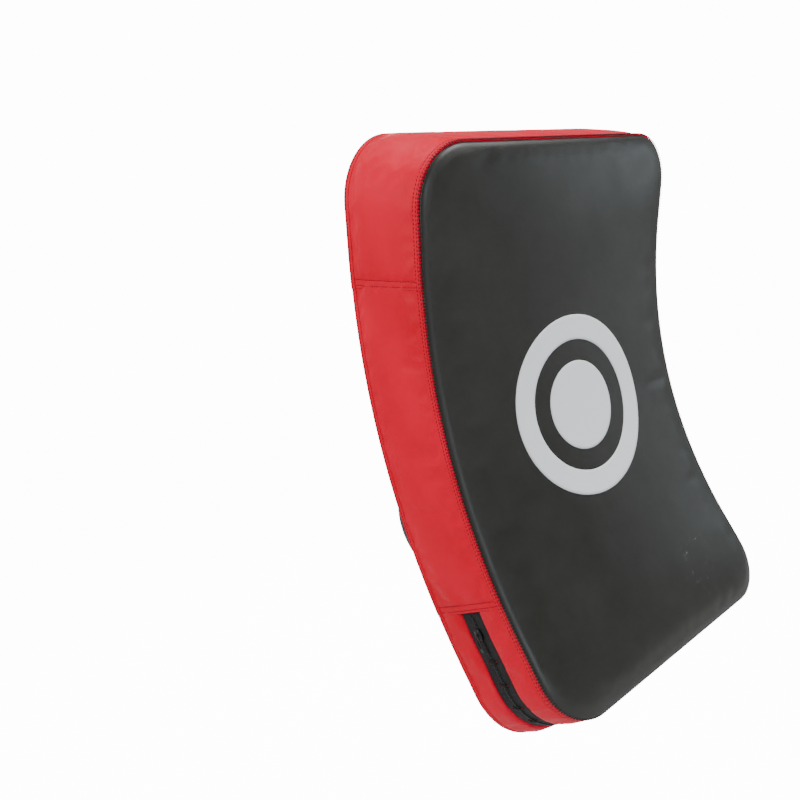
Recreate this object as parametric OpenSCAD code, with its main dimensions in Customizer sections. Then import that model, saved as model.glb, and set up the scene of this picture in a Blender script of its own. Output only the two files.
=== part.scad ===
// Curved two-hand kick and strike pad: hollow front face, thick foam block, sewn cover with a
// zipped gusset, two sleeved grip handles and one carry handle on the back.

/* [Body] */
// width of the face, side to side
pad_width = 400; // [320:1:480]
// length of the face round its hollow curve
face_length = 600; // [500:1:700]
// depth from the front seam to the back
pad_depth = 120; // [80:1:150]
// radius of the hollow front at the seam
front_radius = 612; // [450:1:1200]
// length of the face that is curved, the rest at each end is straight
curved_length = 408; // [300:1:440]
// how much further the back reaches at each end
end_lean = 16.5; // [0:0.5:30]
// radius of the four corners
corner_radius = 58; // [40:1:80]
// how far the face swells out in the middle
crown_height = 10; // [5:0.5:14]
// half width of the swelling
crown_half_width = 188; // [150:1:190]
// half length of the swelling along the curve
crown_half_length = 288; // [240:1:290]

/* [Cover] */
// thickness of the coated leathercloth
skin = 1; // [0.6:0.1:1.6]
// width of the folded seam round the front edge of the gusset
seam_width = 9; // [6:0.5:12]
// how far the seam stands out of the gusset
seam_rise = 0.6; // [0.4:0.1:1.2]
// upper gusset seam, along the front curve
upper_seam = 169; // [120:1:200]
// lower gusset seam, along the front curve
lower_seam = -162; // [-200:1:-120]
// overlap of one gusset panel on the next
lap = 10; // [6:0.5:16]
// free room between the gusset and the foam
foam_inset = 4; // [3.9:0.1:8]

/* [Target] */
// radius of the filled spot
disc_radius = 53; // [30:1:70]
// inner radius of the printed ring
ring_inner = 78; // [60:1:95]
// outer radius of the printed ring
ring_outer = 107; // [98:1:140]
// height of the target above the middle of the face
target_z = 4; // [-20:1:20]
// thickness of the print
print_skin = 0.3; // [0.2:0.1:0.6]

/* [Zip] */
// distance of the coil from the front seam
zip_depth = 60; // [40:1:70]
// width of the tape that can be seen
tape_width = 32; // [18:1:40]
// width of the closed coil
coil_width = 2.8; // [2:0.1:4]
// where the slider stands, along the front curve
slider_v = -185; // [-190:1:-180]
// length of the slider body
slider_length = 12; // [8:0.5:14]

/* [Back] */
// lower edge of the lower band, along the back curve
lower_band_from = -271; // [-290:1:-255]
// upper edge of the lower band
lower_band_to = -177; // [-190:1:-165]
// lower edge of the upper band
upper_band_from = 15; // [5:1:25]
// upper edge of the upper band
upper_band_to = 108; // [95:1:120]
// lower edge of the carry band
carry_band_from = 170; // [160:1:180]
// upper edge of the carry band
carry_band_to = 258; // [250:1:270]
// thickness of a padded band
band_thickness = 4; // [3:0.5:6]

/* [Handles] */
// distance of each grip handle from the middle
handle_x = 115; // [100:1:130]
// radius of a grip handle
handle_radius = 20; // [15:0.5:22]
// radius where a grip handle meets its ends
handle_neck = 9; // [7:0.5:10]
// height of the swing axis above the back at the ends
handle_axis = 13; // [12:0.5:16]
// slope of the upper leg
upper_leg_angle = 50; // [45:1:60]
// slope of the lower leg
lower_leg_angle = 90; // [85:1:90]
// bend radius of the grip
grip_bend = 55; // [45:1:60]
// width of the flat ends sewn under the bands
tab_width = 56; // [40:1:64]
// length of the flat ends under the bands
tab_length = 72; // [50:1:80]
// thickness of the flat ends
tab_thickness = 2.6; // [1.5:0.1:2.8]
// radius of the carry handle
carry_radius = 18; // [14:0.5:18]
// radius of its necks
carry_neck = 8; // [6:0.5:9]
// half distance between the necks of the carry handle
carry_foot = 76; // [65:1:80]
// slope of its legs
carry_leg_angle = 40; // [35:1:45]
// bend radius of the carry handle
carry_bend = 90; // [80:1:95]
// height of its swing axis above the back
carry_axis = 15; // [14:0.5:18]

/* [Rivets] */
// height of the lower rivets along the back curve
lower_rivet_v = -205; // [-215:1:-195]
// height of the upper rivets along the back curve
upper_rivet_v = 42; // [35:1:50]
// radius of the rivet head
rivet_radius = 6; // [4:0.5:8]
// radius of the shank
shank_radius = 2.2; // [1.5:0.1:3]

/* [Stitching] */
// width of a row of thread
thread = 0.7; // [0.5:0.1:1.2]
// height of a row of thread
thread_rise = 0.4; // [0.3:0.1:0.8]

/* [Hidden] */
$fn = 96;
fine = 720;
end_angle = curved_length / 2 / front_radius * 180 / PI;
straight = (face_length - curved_length) / 2;
back_radius = front_radius + pad_depth;
lean = atan(end_lean / pad_depth);
beyond = 460;

// side-view point [y, z] at length v round radius r, at depth w behind the front seam
function at(v, r, w) =
    let (edge = r * end_angle * PI / 180)
    let (arc = max(-edge, min(edge, v)))
    let (a = arc / r * 180 / PI)
    let (rest = v - arc)
    let (y = (front_radius + w) * cos(a) - front_radius - rest * sin(a))
    [y, (front_radius + w) * sin(a) + rest * cos(a)];

// the swelling of the face is one turned surface: a slow curve along the pad and across it
crown_end = at(crown_half_length, front_radius, 0);
crown_drop = -crown_height - crown_end[0];
crown_turn = (crown_end[1] * crown_end[1] + crown_drop * crown_drop) / (2 * crown_drop);
crown_cross = (crown_half_width * crown_half_width + crown_height * crown_height) / (2 * crown_height);

// grip handles: straight lower and upper legs joined by one bend, in a frame on the back
handle_v = (upper_band_from + lower_band_to) / 2;
handle_turn = handle_v / back_radius * 180 / PI;
half_chord_angle = (upper_band_from - lower_band_to) / 2 / back_radius * 180 / PI;
half_chord = back_radius * sin(half_chord_angle);
axis_y = handle_axis - back_radius * (1 - cos(half_chord_angle));
knuckle = 4.4;
gap = 0.4;
foot = half_chord - knuckle - gap - handle_neck;
apex_angle = (180 - upper_leg_angle - lower_leg_angle) / 2;
leg_ratio = sin(lower_leg_angle) / sin(upper_leg_angle);
lower_line = 2 * foot / (leg_ratio * cos(upper_leg_angle) + cos(lower_leg_angle));
upper_line = lower_line * leg_ratio;
bend_cut = grip_bend / tan(apex_angle);
lower_leg = lower_line - bend_cut;
upper_leg = upper_line - bend_cut;
bend_z = foot - upper_leg * cos(upper_leg_angle) - grip_bend * sin(upper_leg_angle);
bend_y = axis_y + upper_leg * sin(upper_leg_angle) - grip_bend * cos(upper_leg_angle);
neck_hold = 10;
taper = 38;
sleeve = 1.2;
step = 0.2;
webbing_radius = 5;

// the origin lies midway between the tops of the two grips
grip_reach = back_radius + bend_y + grip_bend;
grip_y = grip_reach * cos(handle_turn) - bend_z * sin(handle_turn) - front_radius;
grip_z = grip_reach * sin(handle_turn) + bend_z * cos(handle_turn);

// carry handle: two equal legs and one bend
carry_v = (carry_band_from + carry_band_to) / 2;
carry_turn = carry_v / back_radius * 180 / PI;
carry_cut = carry_bend * tan(carry_leg_angle);
carry_leg = carry_foot / cos(carry_leg_angle) - carry_cut;
carry_bend_y = carry_axis + carry_leg * sin(carry_leg_angle) - carry_bend * cos(carry_leg_angle);
carry_knuckle = 7.6;
patch_from = 93;
patch_to = 134;
patch_thickness = 1.6;

// ---- placing ----

// moves the pad so that the origin lies between the grips
module placed() {
    translate([0, -grip_y, -grip_z]) children();
}

// draws a side-view profile (y across, z up) out along the width
module along_x(length) {
    rotate([90, 0, 90]) linear_extrude(length, center = true) children();
}

// a spot on the back at height v: y points straight out of the back
module on_back(v) {
    translate([0, -front_radius, 0])
        rotate([v / back_radius * 180 / PI, 0, 0])
            translate([0, back_radius, 0]) children();
}

// ---- body shapes ----

// the hollow slab seen from the side, from depth w0 to depth w1
module side_profile(w0, w1) {
    translate([-front_radius, 0]) {
        intersection() {
            difference() {
                circle(front_radius + w1, $fn = fine);
                circle(front_radius + w0, $fn = fine);
            }
            polygon([[0, 0], [1000, -1000 * tan(end_angle)], [1000, 1000 * tan(end_angle)]]);
        }
        rotate(end_angle) translate([front_radius + w0, 0]) square([w1 - w0, 160]);
        rotate(-end_angle) translate([front_radius + w0, -160]) square([w1 - w0, 160]);
    }
}

// the outline of one end, seen square on, drawn inwards by inset
module end_outline(inset) {
    r = corner_radius - inset;
    half = pad_width / 2 - inset;
    translate([-half, -900]) square([2 * half, 900 - inset - r]);
    translate([r - half, -inset - r - 1]) square([2 * (half - r), r + 1]);
    translate([half - r, -inset - r]) circle(r);
    translate([r - half, -inset - r]) circle(r);
}

module end_prism(inset) {
    translate([0, -front_radius, 0])
        rotate([end_angle, 0, 0])
            translate([0, front_radius, straight])
                rotate([lean, 0, 0])
                    rotate([90, 0, 0])
                        linear_extrude(1600, center = true) end_outline(inset);
}

// the slab between two depths with its rounded corners, drawn inwards by inset
module pad_solid(inset, w0, w1) {
    intersection() {
        along_x(pad_width + 40) side_profile(w0, w1);
        end_prism(inset);
        mirror([0, 0, 1]) end_prism(inset);
    }
}

// a strip of the edge wall between two insets and two depths
module wall(d0, d1, w0, w1) {
    difference() {
        pad_solid(d0, w0, w1);
        pad_solid(d1, w0 - 1, w1 + 1);
    }
}

// everything between two heights, measured round radius r
module slice(v0, v1, r) {
    along_x(pad_width + 60) polygon([at(v0, r, -60), at(v1, r, -60), at(v1, r, 190), at(v0, r, 190)]);
}

// the solid behind the swollen face, its surface set back by off
module crown_body(off) {
    translate([0, -crown_height - crown_turn, 0])
        rotate([90, 0, 90])
            rotate([0, 0, -30])
                rotate_extrude(angle = 60, $fn = fine)
                    intersection() {
                        translate([crown_turn + crown_cross, 0]) circle(crown_cross - off, $fn = fine);
                        translate([crown_turn - 2, -pad_width / 2]) square([60, pad_width]);
                    }
}

// the part of the printed layer inside radius r round the target's middle
module printed(r) {
    difference() {
        intersection() {
            crown_body(-print_skin);
            translate([0, 0, target_z]) rotate([90, 0, 0]) cylinder(h = 60, r = r, center = true);
        }
        crown_body(0);
    }
}

// ---- front ----

module front_panel() {
    color([0.03, 0.03, 0.035]) placed() difference() {
        union() {
            pad_solid(0, 0, skin);
            intersection() {
                crown_body(0);
                pad_solid(0, -20, skin);
            }
        }
        intersection() {
            crown_body(skin);
            pad_solid(0, -20, skin + 1);
        }
    }
}

module target_ring() {
    color([0.88, 0.9, 0.9]) placed() difference() {
        printed(ring_outer);
        translate([0, 0, target_z]) rotate([90, 0, 0]) cylinder(h = 70, r = ring_inner, center = true);
    }
}

module target_disc() {
    color([0.88, 0.9, 0.9]) placed() printed(disc_radius);
}

// the folded and stitched edge where gusset and face are joined
module front_seam_strip() {
    color([0.75, 0.02, 0.06]) placed() wall(-seam_rise, 3 * skin, skin, seam_width);
}

module rim_stitching() {
    color([0.75, 0.02, 0.06]) placed() {
        for (w = [2.6, 6.4]) wall(-seam_rise - thread_rise, -seam_rise, w, w + thread);
    }
}

// ---- gusset ----

module top_cap_gusset() {
    color([0.75, 0.02, 0.06]) placed() intersection() {
        wall(0, skin, seam_width, pad_depth - skin);
        slice(upper_seam, beyond, front_radius);
    }
}

module side_gusset(side) {
    placed() intersection() {
        wall(skin, 2 * skin, seam_width, pad_depth - skin);
        slice(lower_seam, upper_seam + lap, front_radius);
        translate([side * pad_width / 2, 0, 0]) cube([60, 600, 900], center = true);
    }
}

module left_side_gusset() {
    color([0.75, 0.02, 0.06]) side_gusset(1);
}

module right_side_gusset() {
    color([0.75, 0.02, 0.06]) side_gusset(-1);
}

module zip_gusset_front() {
    color([0.75, 0.02, 0.06]) placed() intersection() {
        wall(2 * skin, 3 * skin, seam_width, zip_depth - tape_width / 2);
        slice(-beyond, lower_seam + lap, front_radius);
    }
}

module zip_gusset_back() {
    color([0.75, 0.02, 0.06]) placed() intersection() {
        wall(2 * skin, 3 * skin, zip_depth + tape_width / 2, pad_depth - skin);
        slice(-beyond, lower_seam + lap, front_radius);
    }
}

module zip_tape_front() {
    color([0.02, 0.02, 0.02]) placed() intersection() {
        wall(3 * skin, 3 * skin + 0.8, zip_depth - tape_width / 2 - 6, zip_depth - 0.2);
        slice(-beyond, lower_seam + lap, front_radius);
    }
}

module zip_tape_back() {
    color([0.02, 0.02, 0.02]) placed() intersection() {
        wall(3 * skin, 3 * skin + 0.8, zip_depth + 0.2, zip_depth + tape_width / 2 + 6);
        slice(-beyond, lower_seam + lap, front_radius);
    }
}

module zip_coil() {
    color([0.03, 0.03, 0.03]) placed() intersection() {
        wall(3 * skin - 1.6, 3 * skin, zip_depth - coil_width / 2, zip_depth + coil_width / 2);
        slice(-beyond, lower_seam - 3, front_radius);
    }
}

// short thread knots that hold the zip shut below the slider
module zip_tacks() {
    color([0.03, 0.02, 0.02]) placed() {
        for (v = [-214, -238, -263, -281]) intersection() {
            difference() {
                wall(3 * skin - 2.6, 3 * skin, zip_depth - 7, zip_depth + 7);
                wall(3 * skin - 1.6, 3 * skin + 1, zip_depth - coil_width / 2, zip_depth + coil_width / 2);
            }
            slice(v - 1.5, v + 1.5, front_radius);
            translate([-pad_width / 2, 0, 0]) cube([60, 600, 900], center = true);
        }
    }
}

// double rows on the overlapping edges of the gusset panels
module gusset_stitching() {
    color([0.75, 0.02, 0.06]) placed() {
        for (v = [upper_seam + 2.5, upper_seam + 6]) intersection() {
            wall(-thread_rise, 0, seam_width + 1, pad_depth - 2 * skin);
            slice(v, v + thread, front_radius);
        }
        for (v = [lower_seam + 2.5, lower_seam + 6]) intersection() {
            wall(skin - thread_rise, skin, seam_width + 1, pad_depth - 2 * skin);
            slice(v, v + thread, front_radius);
        }
    }
}

// ---- foam ----

module strike_foam() {
    color([0.35, 0.37, 0.4]) placed() union() {
        pad_solid(foam_inset, skin, 45);
        intersection() {
            crown_body(skin);
            pad_solid(foam_inset, -20, skin);
        }
    }
}

module core_foam() {
    color([0.8, 0.8, 0.75]) placed() pad_solid(foam_inset, 45, 85);
}

module back_foam() {
    color([0.35, 0.37, 0.4]) placed() difference() {
        pad_solid(foam_inset, 85, pad_depth - skin);
        at_rivets() translate([0, 0, -6]) cylinder(h = 10, r = 8);
    }
}

// ---- back ----

// the four rivet places, z pointing out of the back
module at_rivets() {
    for (x = [-handle_x, handle_x]) {
        for (v = [lower_rivet_v, upper_rivet_v]) {
            on_back(v) translate([x, 0, 0]) rotate([-90, 0, 0]) children();
        }
    }
}

module shank_holes() {
    at_rivets() translate([0, 0, -8]) cylinder(h = 20, r = shank_radius);
}

// flat end of a handle sleeve, lying on the back from v0 to v1
module tab(x, v0, v1) {
    intersection() {
        pad_solid(0, pad_depth, pad_depth + tab_thickness);
        slice(v0, v1, back_radius);
        translate([x, 0, 0]) cube([tab_width, 600, 900], center = true);
    }
}

module tabs(x) {
    tab(x, upper_band_from - knuckle, upper_band_from + tab_length);
    tab(x, lower_band_to - tab_length, lower_band_to + knuckle);
}

module back_panel() {
    color([0.03, 0.03, 0.035]) placed() difference() {
        pad_solid(0, pad_depth - skin, pad_depth);
        shank_holes();
    }
}

// a padded band across the back, open underneath where the handle ends run in
module band(v0, v1) {
    difference() {
        intersection() {
            pad_solid(0, pad_depth, pad_depth + band_thickness);
            slice(v0, v1, back_radius);
        }
        tabs(-handle_x);
        tabs(handle_x);
        shank_holes();
    }
}

module carry_band() {
    color([0.75, 0.02, 0.06]) placed() band(carry_band_from, carry_band_to);
}

module upper_band() {
    color([0.75, 0.02, 0.06]) placed() band(upper_band_from, upper_band_to);
}

module lower_band() {
    color([0.75, 0.02, 0.06]) placed() band(lower_band_from, lower_band_to);
}

module band_rows(v) {
    intersection() {
        pad_solid(2, pad_depth + band_thickness, pad_depth + band_thickness + thread_rise);
        slice(v, v + thread, back_radius);
    }
}

module band_stitching() {
    color([0.75, 0.02, 0.06]) placed() {
        for (v = [lower_band_from, upper_band_from, carry_band_from]) {
            for (up = [2.5, 6]) band_rows(v + up);
        }
        for (v = [lower_band_to, upper_band_to, carry_band_to]) {
            for (down = [3.2, 6.7]) band_rows(v - down);
        }
    }
}

// the lines of a stitched box with a cross in it, flat
module crossed_box(wide, tall) {
    a = wide / 2 - thread;
    b = tall / 2 - thread;
    difference() {
        square([wide, tall], center = true);
        for (s = [-1, 1]) {
            polygon([[s * a, thread - b], [s * a, b - thread], [s * thread, 0]]);
            polygon([[thread - a, s * b], [a - thread, s * b], [0, s * thread]]);
        }
    }
}

// the same lines sewn on the back at x and height v, on a layer whose top is at depth base
module stitched_box(x, v, wide, tall, base) {
    intersection() {
        on_back(v) translate([x, 0, 0]) rotate([90, 0, 0])
            linear_extrude(40, center = true) crossed_box(wide, tall);
        pad_solid(2, pad_depth + base, pad_depth + base + thread_rise);
    }
}

module box_stitching() {
    color([0.75, 0.02, 0.06]) placed() {
        for (x = [-handle_x, handle_x]) {
            stitched_box(x, upper_band_from + 41, 50, 68, band_thickness);
            stitched_box(x, lower_band_to - 46, 50, 68, band_thickness);
        }
        for (x = [-(patch_from + patch_to) / 2, (patch_from + patch_to) / 2]) {
            stitched_box(x, carry_v, 36, 58, band_thickness + patch_thickness);
        }
    }
}

module patch(side) {
    intersection() {
        pad_solid(0, pad_depth + band_thickness, pad_depth + band_thickness + patch_thickness);
        slice(carry_band_from + 9, carry_band_to - 9, back_radius);
        translate([side * (patch_from + patch_to) / 2, 0, 0])
            cube([patch_to - patch_from, 600, 900], center = true);
    }
}

module carry_handle_patches() {
    color([0.02, 0.02, 0.022]) placed() {
        patch(-1);
        patch(1);
    }
}

module rivets() {
    color([0.72, 0.5, 0.2]) placed() at_rivets() {
        translate([0, 0, -4]) cylinder(h = 4 + band_thickness, r = shank_radius);
        intersection() {
            translate([0, 0, band_thickness]) cylinder(h = 4, r = rivet_radius);
            translate([0, 0, band_thickness - 4]) sphere(r = 7.2);
        }
    }
}

module rivet_washers() {
    color([0.6, 0.6, 0.6]) placed() at_rivets() difference() {
        translate([0, 0, -3.2]) cylinder(h = 1, r = 7);
        translate([0, 0, -5]) cylinder(h = 8, r = shank_radius);
    }
}

// ---- grip handles ----

// the fixed ends of one handle: flat tabs and the short necks the grip swings from
module handle_ends(x) {
    placed() difference() {
        union() {
            tabs(x);
            on_back(handle_v) translate([x, 0, 0]) {
                for (s = [-1, 1]) {
                    translate([0, axis_y, s * (half_chord - knuckle / 2)])
                        cylinder(h = knuckle, r = handle_neck, center = true);
                    translate([0, axis_y / 2 - 5, s * (half_chord - knuckle / 2)])
                        cube([2 * handle_neck - 4, axis_y + 10, knuckle], center = true);
                }
            }
        }
        translate([0, -front_radius, 0]) rotate([0, 90, 0])
            cylinder(h = pad_width, r = back_radius, center = true, $fn = fine);
        shank_holes();
        band_edges();
    }
}

// the two bands that the tabs run under, without their pockets
module band_edges() {
    difference() {
        union() {
            intersection() {
                pad_solid(0, pad_depth, pad_depth + band_thickness);
                slice(upper_band_from, upper_band_to, back_radius);
            }
            intersection() {
                pad_solid(0, pad_depth, pad_depth + band_thickness);
                slice(lower_band_from, lower_band_to, back_radius);
            }
        }
        tabs(-handle_x);
        tabs(handle_x);
    }
}

module left_handle_ends() {
    color([0.02, 0.02, 0.022]) handle_ends(handle_x);
}

module right_handle_ends() {
    color([0.02, 0.02, 0.022]) handle_ends(-handle_x);
}

// half of the lengthwise section of a leg: a round neck end, a widening part and a plain part
module leg_half(neck, full, hold, widen, length) {
    intersection() {
        circle(neck);
        translate([0, -neck - 1]) square([neck + 1, neck + 1]);
    }
    polygon([[0, 0], [neck, 0], [neck, hold], [full, widen], [full, length], [0, length]]);
}

// one leg as a turned tube: sizes is [neck, full, inner neck, inner full], inner 0 for a solid rod
module leg(sizes, hold, widen, length) {
    rotate_extrude() difference() {
        leg_half(sizes[0], sizes[1], hold, widen, length);
        if (sizes[2] > 0) leg_half(sizes[2], sizes[3], hold, widen, length + 1);
    }
}

// one bend as a turned tube, run on by past degrees at both ends
module bend(outer, inner, radius, angle, past) {
    rotate([0, 0, -past]) rotate_extrude(angle = angle + 2 * past) translate([radius, 0]) difference() {
        circle(outer);
        if (inner > 0) circle(inner);
    }
}

// sizes of the three layers of a leg: sleeve, foam, webbing
function leg_sizes(neck, full) = [
    [neck, full - step, neck - 1, full - sleeve + step],
    [neck - 1, full - sleeve + step, webbing_radius, webbing_radius],
    [webbing_radius, webbing_radius, 0, 0]
];

// outer and inner radius of the three layers of a bend, each a little off its leg's
function bend_sizes(full) = [
    [full, full - sleeve],
    [full - sleeve, webbing_radius + step],
    [webbing_radius + step, 0]
];

// how far a layer's legs dip into its bend, or its bend into its legs, to join them
function leg_dip(layer) = layer == 1 ? 0 : 0.5;
function bend_past(layer) = layer == 1 ? 0.5 : 0;

// one layer of a swinging grip: 0 sleeve, 1 foam, 2 webbing
module grip(x, layer) {
    legs = leg_sizes(handle_neck, handle_radius)[layer];
    turn = bend_sizes(handle_radius)[layer];
    placed() on_back(handle_v) translate([x, 0, 0]) {
        translate([0, axis_y, foot])
            rotate([upper_leg_angle - 180, 0, 0]) leg(legs, neck_hold, taper, upper_leg + leg_dip(layer));
        translate([0, axis_y, -foot])
            rotate([-lower_leg_angle, 0, 0]) leg(legs, neck_hold, taper, lower_leg + leg_dip(layer));
        translate([0, bend_y, bend_z])
            rotate([0, -90, 0])
                rotate([0, 0, 90 - upper_leg_angle])
                    bend(turn[0], turn[1], grip_bend, 180 - 2 * apex_angle, bend_past(layer));
    }
}

module left_handle_sleeve() {
    color([0.02, 0.02, 0.022]) grip(handle_x, 0);
}

module left_handle_foam() {
    color([0.5, 0.5, 0.5]) grip(handle_x, 1);
}

module left_handle_webbing() {
    color([0.1, 0.1, 0.1]) grip(handle_x, 2);
}

module right_handle_sleeve() {
    color([0.02, 0.02, 0.022]) grip(-handle_x, 0);
}

module right_handle_foam() {
    color([0.5, 0.5, 0.5]) grip(-handle_x, 1);
}

module right_handle_webbing() {
    color([0.1, 0.1, 0.1]) grip(-handle_x, 2);
}

// ---- carry handle ----

// the fixed necks of the carry handle, standing on the carry band
module carry_handle_ends() {
    color([0.02, 0.02, 0.022]) placed() difference() {
        on_back(carry_v) for (s = [-1, 1]) {
            translate([s * (carry_foot + carry_neck + gap + carry_knuckle / 2), carry_axis, 0])
                rotate([0, 90, 0]) cylinder(h = carry_knuckle, r = carry_neck, center = true);
            translate([s * (carry_foot + carry_neck + gap + carry_knuckle / 2), carry_axis / 2, 0])
                cube([carry_knuckle, carry_axis, 2 * carry_neck - 3], center = true);
        }
        translate([0, -front_radius, 0]) rotate([0, 90, 0])
            cylinder(h = pad_width, r = back_radius + band_thickness, center = true, $fn = fine);
    }
}

// one layer of the carry handle: 0 sleeve, 1 foam, 2 webbing
module carry_grip(layer) {
    legs = leg_sizes(carry_neck, carry_radius)[layer];
    turn = bend_sizes(carry_radius)[layer];
    placed() on_back(carry_v) {
        for (s = [-1, 1]) {
            translate([s * carry_foot, carry_axis, 0])
                rotate([0, 0, s * (90 - carry_leg_angle)])
                    rotate([-90, 0, 0]) leg(legs, 6, carry_leg - 1, carry_leg + leg_dip(layer));
        }
        translate([0, carry_bend_y, 0])
            rotate([0, 0, 90 - carry_leg_angle])
                bend(turn[0], turn[1], carry_bend, 2 * carry_leg_angle, bend_past(layer));
    }
}

module carry_handle_sleeve() {
    color([0.02, 0.02, 0.022]) carry_grip(0);
}

module carry_handle_foam() {
    color([0.5, 0.5, 0.5]) carry_grip(1);
}

module carry_handle_webbing() {
    color([0.1, 0.1, 0.1]) carry_grip(2);
}

// ---- zip slider ----

// the slider's place: x points out of the side, y towards the back, z up along the coil
module at_slider() {
    translate([0, -front_radius, 0])
        rotate([slider_v / front_radius * 180 / PI, 0, 0])
            translate([-pad_width / 2, front_radius + zip_depth, 0])
                mirror([1, 0, 0]) children();
}

module zip_slider() {
    color([0.02, 0.02, 0.02]) placed() at_slider() {
        translate([-1.1, -4.5, 4.5 - slider_length / 2]) cube([2.3, 9, slider_length - 9]);
        for (s = [-1, 1]) {
            translate([-1.1, 0, s * (slider_length / 2 - 4.5)])
                rotate([0, 90, 0]) cylinder(h = 2.3, r = 4.5);
            translate([-2.7, s * 3.75 - 0.75, -3]) cube([1.6, 1.5, 6]);
        }
    }
}

module zip_pull() {
    color([0.02, 0.02, 0.02]) placed() at_slider() {
        translate([1.2, -1.5, -2]) cube([2, 3, 5]);
        translate([1.4, -2.5, -16]) cube([1, 5, 14]);
        translate([1.4, 0, -16]) rotate([0, 90, 0]) cylinder(h = 1, r = 2.5);
    }
}

front_panel();
target_ring();
target_disc();
front_seam_strip();
back_panel();
top_cap_gusset();
left_side_gusset();
right_side_gusset();
zip_gusset_front();
zip_gusset_back();
zip_tape_front();
zip_tape_back();
zip_coil();
zip_tacks();
strike_foam();
core_foam();
back_foam();
carry_band();
upper_band();
lower_band();
left_handle_ends();
right_handle_ends();
carry_handle_ends();
carry_handle_patches();
rivets();
rivet_washers();
rim_stitching();
gusset_stitching();
band_stitching();
box_stitching();
left_handle_sleeve();
left_handle_foam();
left_handle_webbing();
right_handle_sleeve();
right_handle_foam();
right_handle_webbing();
carry_handle_sleeve();
carry_handle_foam();
carry_handle_webbing();
zip_slider();
zip_pull();
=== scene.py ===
# Curved kick and strike pad: sewn leathercloth cover, zipped gusset, sleeved handles.
import bmesh
import bpy
import math
import numpy as np
from mathutils import Matrix, Vector

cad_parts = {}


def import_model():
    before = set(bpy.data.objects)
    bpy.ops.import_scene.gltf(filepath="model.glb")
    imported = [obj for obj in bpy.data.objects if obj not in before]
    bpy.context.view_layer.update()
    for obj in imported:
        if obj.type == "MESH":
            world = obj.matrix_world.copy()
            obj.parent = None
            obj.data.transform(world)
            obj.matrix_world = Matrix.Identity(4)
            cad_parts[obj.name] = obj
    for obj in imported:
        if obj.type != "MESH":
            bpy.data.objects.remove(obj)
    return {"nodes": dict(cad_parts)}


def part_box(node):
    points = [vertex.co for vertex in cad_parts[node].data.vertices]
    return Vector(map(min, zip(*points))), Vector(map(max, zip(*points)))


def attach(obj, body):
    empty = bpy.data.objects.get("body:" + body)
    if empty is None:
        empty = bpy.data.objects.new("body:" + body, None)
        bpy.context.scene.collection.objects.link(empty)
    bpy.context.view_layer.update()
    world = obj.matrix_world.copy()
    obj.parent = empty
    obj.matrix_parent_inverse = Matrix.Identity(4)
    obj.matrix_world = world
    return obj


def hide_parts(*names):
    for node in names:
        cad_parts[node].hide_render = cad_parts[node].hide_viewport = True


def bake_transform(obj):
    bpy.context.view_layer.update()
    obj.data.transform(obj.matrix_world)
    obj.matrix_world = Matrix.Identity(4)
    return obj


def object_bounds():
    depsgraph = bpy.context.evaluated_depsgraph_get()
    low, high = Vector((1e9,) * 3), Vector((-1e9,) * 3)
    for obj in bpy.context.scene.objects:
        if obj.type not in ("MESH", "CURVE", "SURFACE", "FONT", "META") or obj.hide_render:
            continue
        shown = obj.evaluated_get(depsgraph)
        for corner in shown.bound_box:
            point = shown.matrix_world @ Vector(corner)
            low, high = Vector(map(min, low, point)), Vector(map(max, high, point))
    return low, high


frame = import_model()
cad_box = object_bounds()

# ---- sizes (mm, as in the CAD source)
HALF_W, HALF_L, DEPTH = 200.0, 300.0, 120.0
R_FRONT, CURVED = 612.0, 204.0
END_LEAN, CORNER = 16.5, 58.0
R_BACK = R_FRONT + DEPTH
END_A = CURVED / R_FRONT
STRAIGHT = HALF_L - CURVED
BACK_BOX = [[c * 1000.0 for c in corner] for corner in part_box("back_panel")]
GRIP_Y = DEPTH - BACK_BOX[1][1]
GRIP_Z = -(BACK_BOX[0][2] + BACK_BOX[1][2]) / 2
UPPER_SEAM, LOWER_SEAM = 169.0, -162.0
GUSSET_LAP = 8.0                    # how far a gusset panel runs on under the next one
GUSSET_W0, GUSSET_W1 = 7.5, 113.0   # the gusset's edges, in depth
ROW_NEAR, ROW_FAR = 3.0, 8.5        # the two stitch rows of a gusset seam, from its edge
TARGET_Z = 4.0
ZIP_W, TAPE = 60.0, 32.0
HANDLE_X = 115.0
LB0, LB1, UB0, UB1, CB0, CB1 = -271.0, -177.0, 15.0, 108.0, 170.0, 258.0   # bands: lower, upper, carry
RIVET_V = (-205.0, 42.0)
SLIDER_V = -185.0
TACK_V = (-214.0, -238.0, -263.0, -281.0)
COVER_THICK = 0.0009                # metres
CHEEK = (40, 60)                    # a grid point well inside a face, to tell which way its normals look


def place(u, v, w):
    """Slab coordinates (across, along the front curve, depth) to metres in the shared frame."""
    u, v, w = np.broadcast_arrays(np.asarray(u, float), np.asarray(v, float), np.asarray(w, float))
    arc = np.clip(v, -CURVED, CURVED)
    a = arc / R_FRONT
    e = (v - arc) * (1.0 + END_LEAN / STRAIGHT * w / DEPTH)
    y = (R_FRONT + w) * np.cos(a) - R_FRONT - e * np.sin(a)
    z = (R_FRONT + w) * np.sin(a) + e * np.cos(a)
    return np.stack([u, y - GRIP_Y, z - GRIP_Z], -1) / 1000.0


def front_v(vb):
    """Length along the back curve to length along the front curve."""
    vb = np.asarray(vb, float)
    edge = R_BACK * END_A
    arc = np.clip(vb, -edge, edge)
    return arc * R_FRONT / R_BACK + (vb - arc) / (1.0 + END_LEAN / STRAIGHT)


def inside(u, v, half_w=HALF_W, half_l=HALF_L, r=CORNER):
    """Distance inwards from the rounded outline."""
    qx = np.abs(u) - (half_w - r)
    qy = np.abs(v) - (half_l - r)
    out = np.hypot(np.maximum(qx, 0), np.maximum(qy, 0))
    return r - out - np.minimum(np.maximum(qx, qy), 0)


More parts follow.
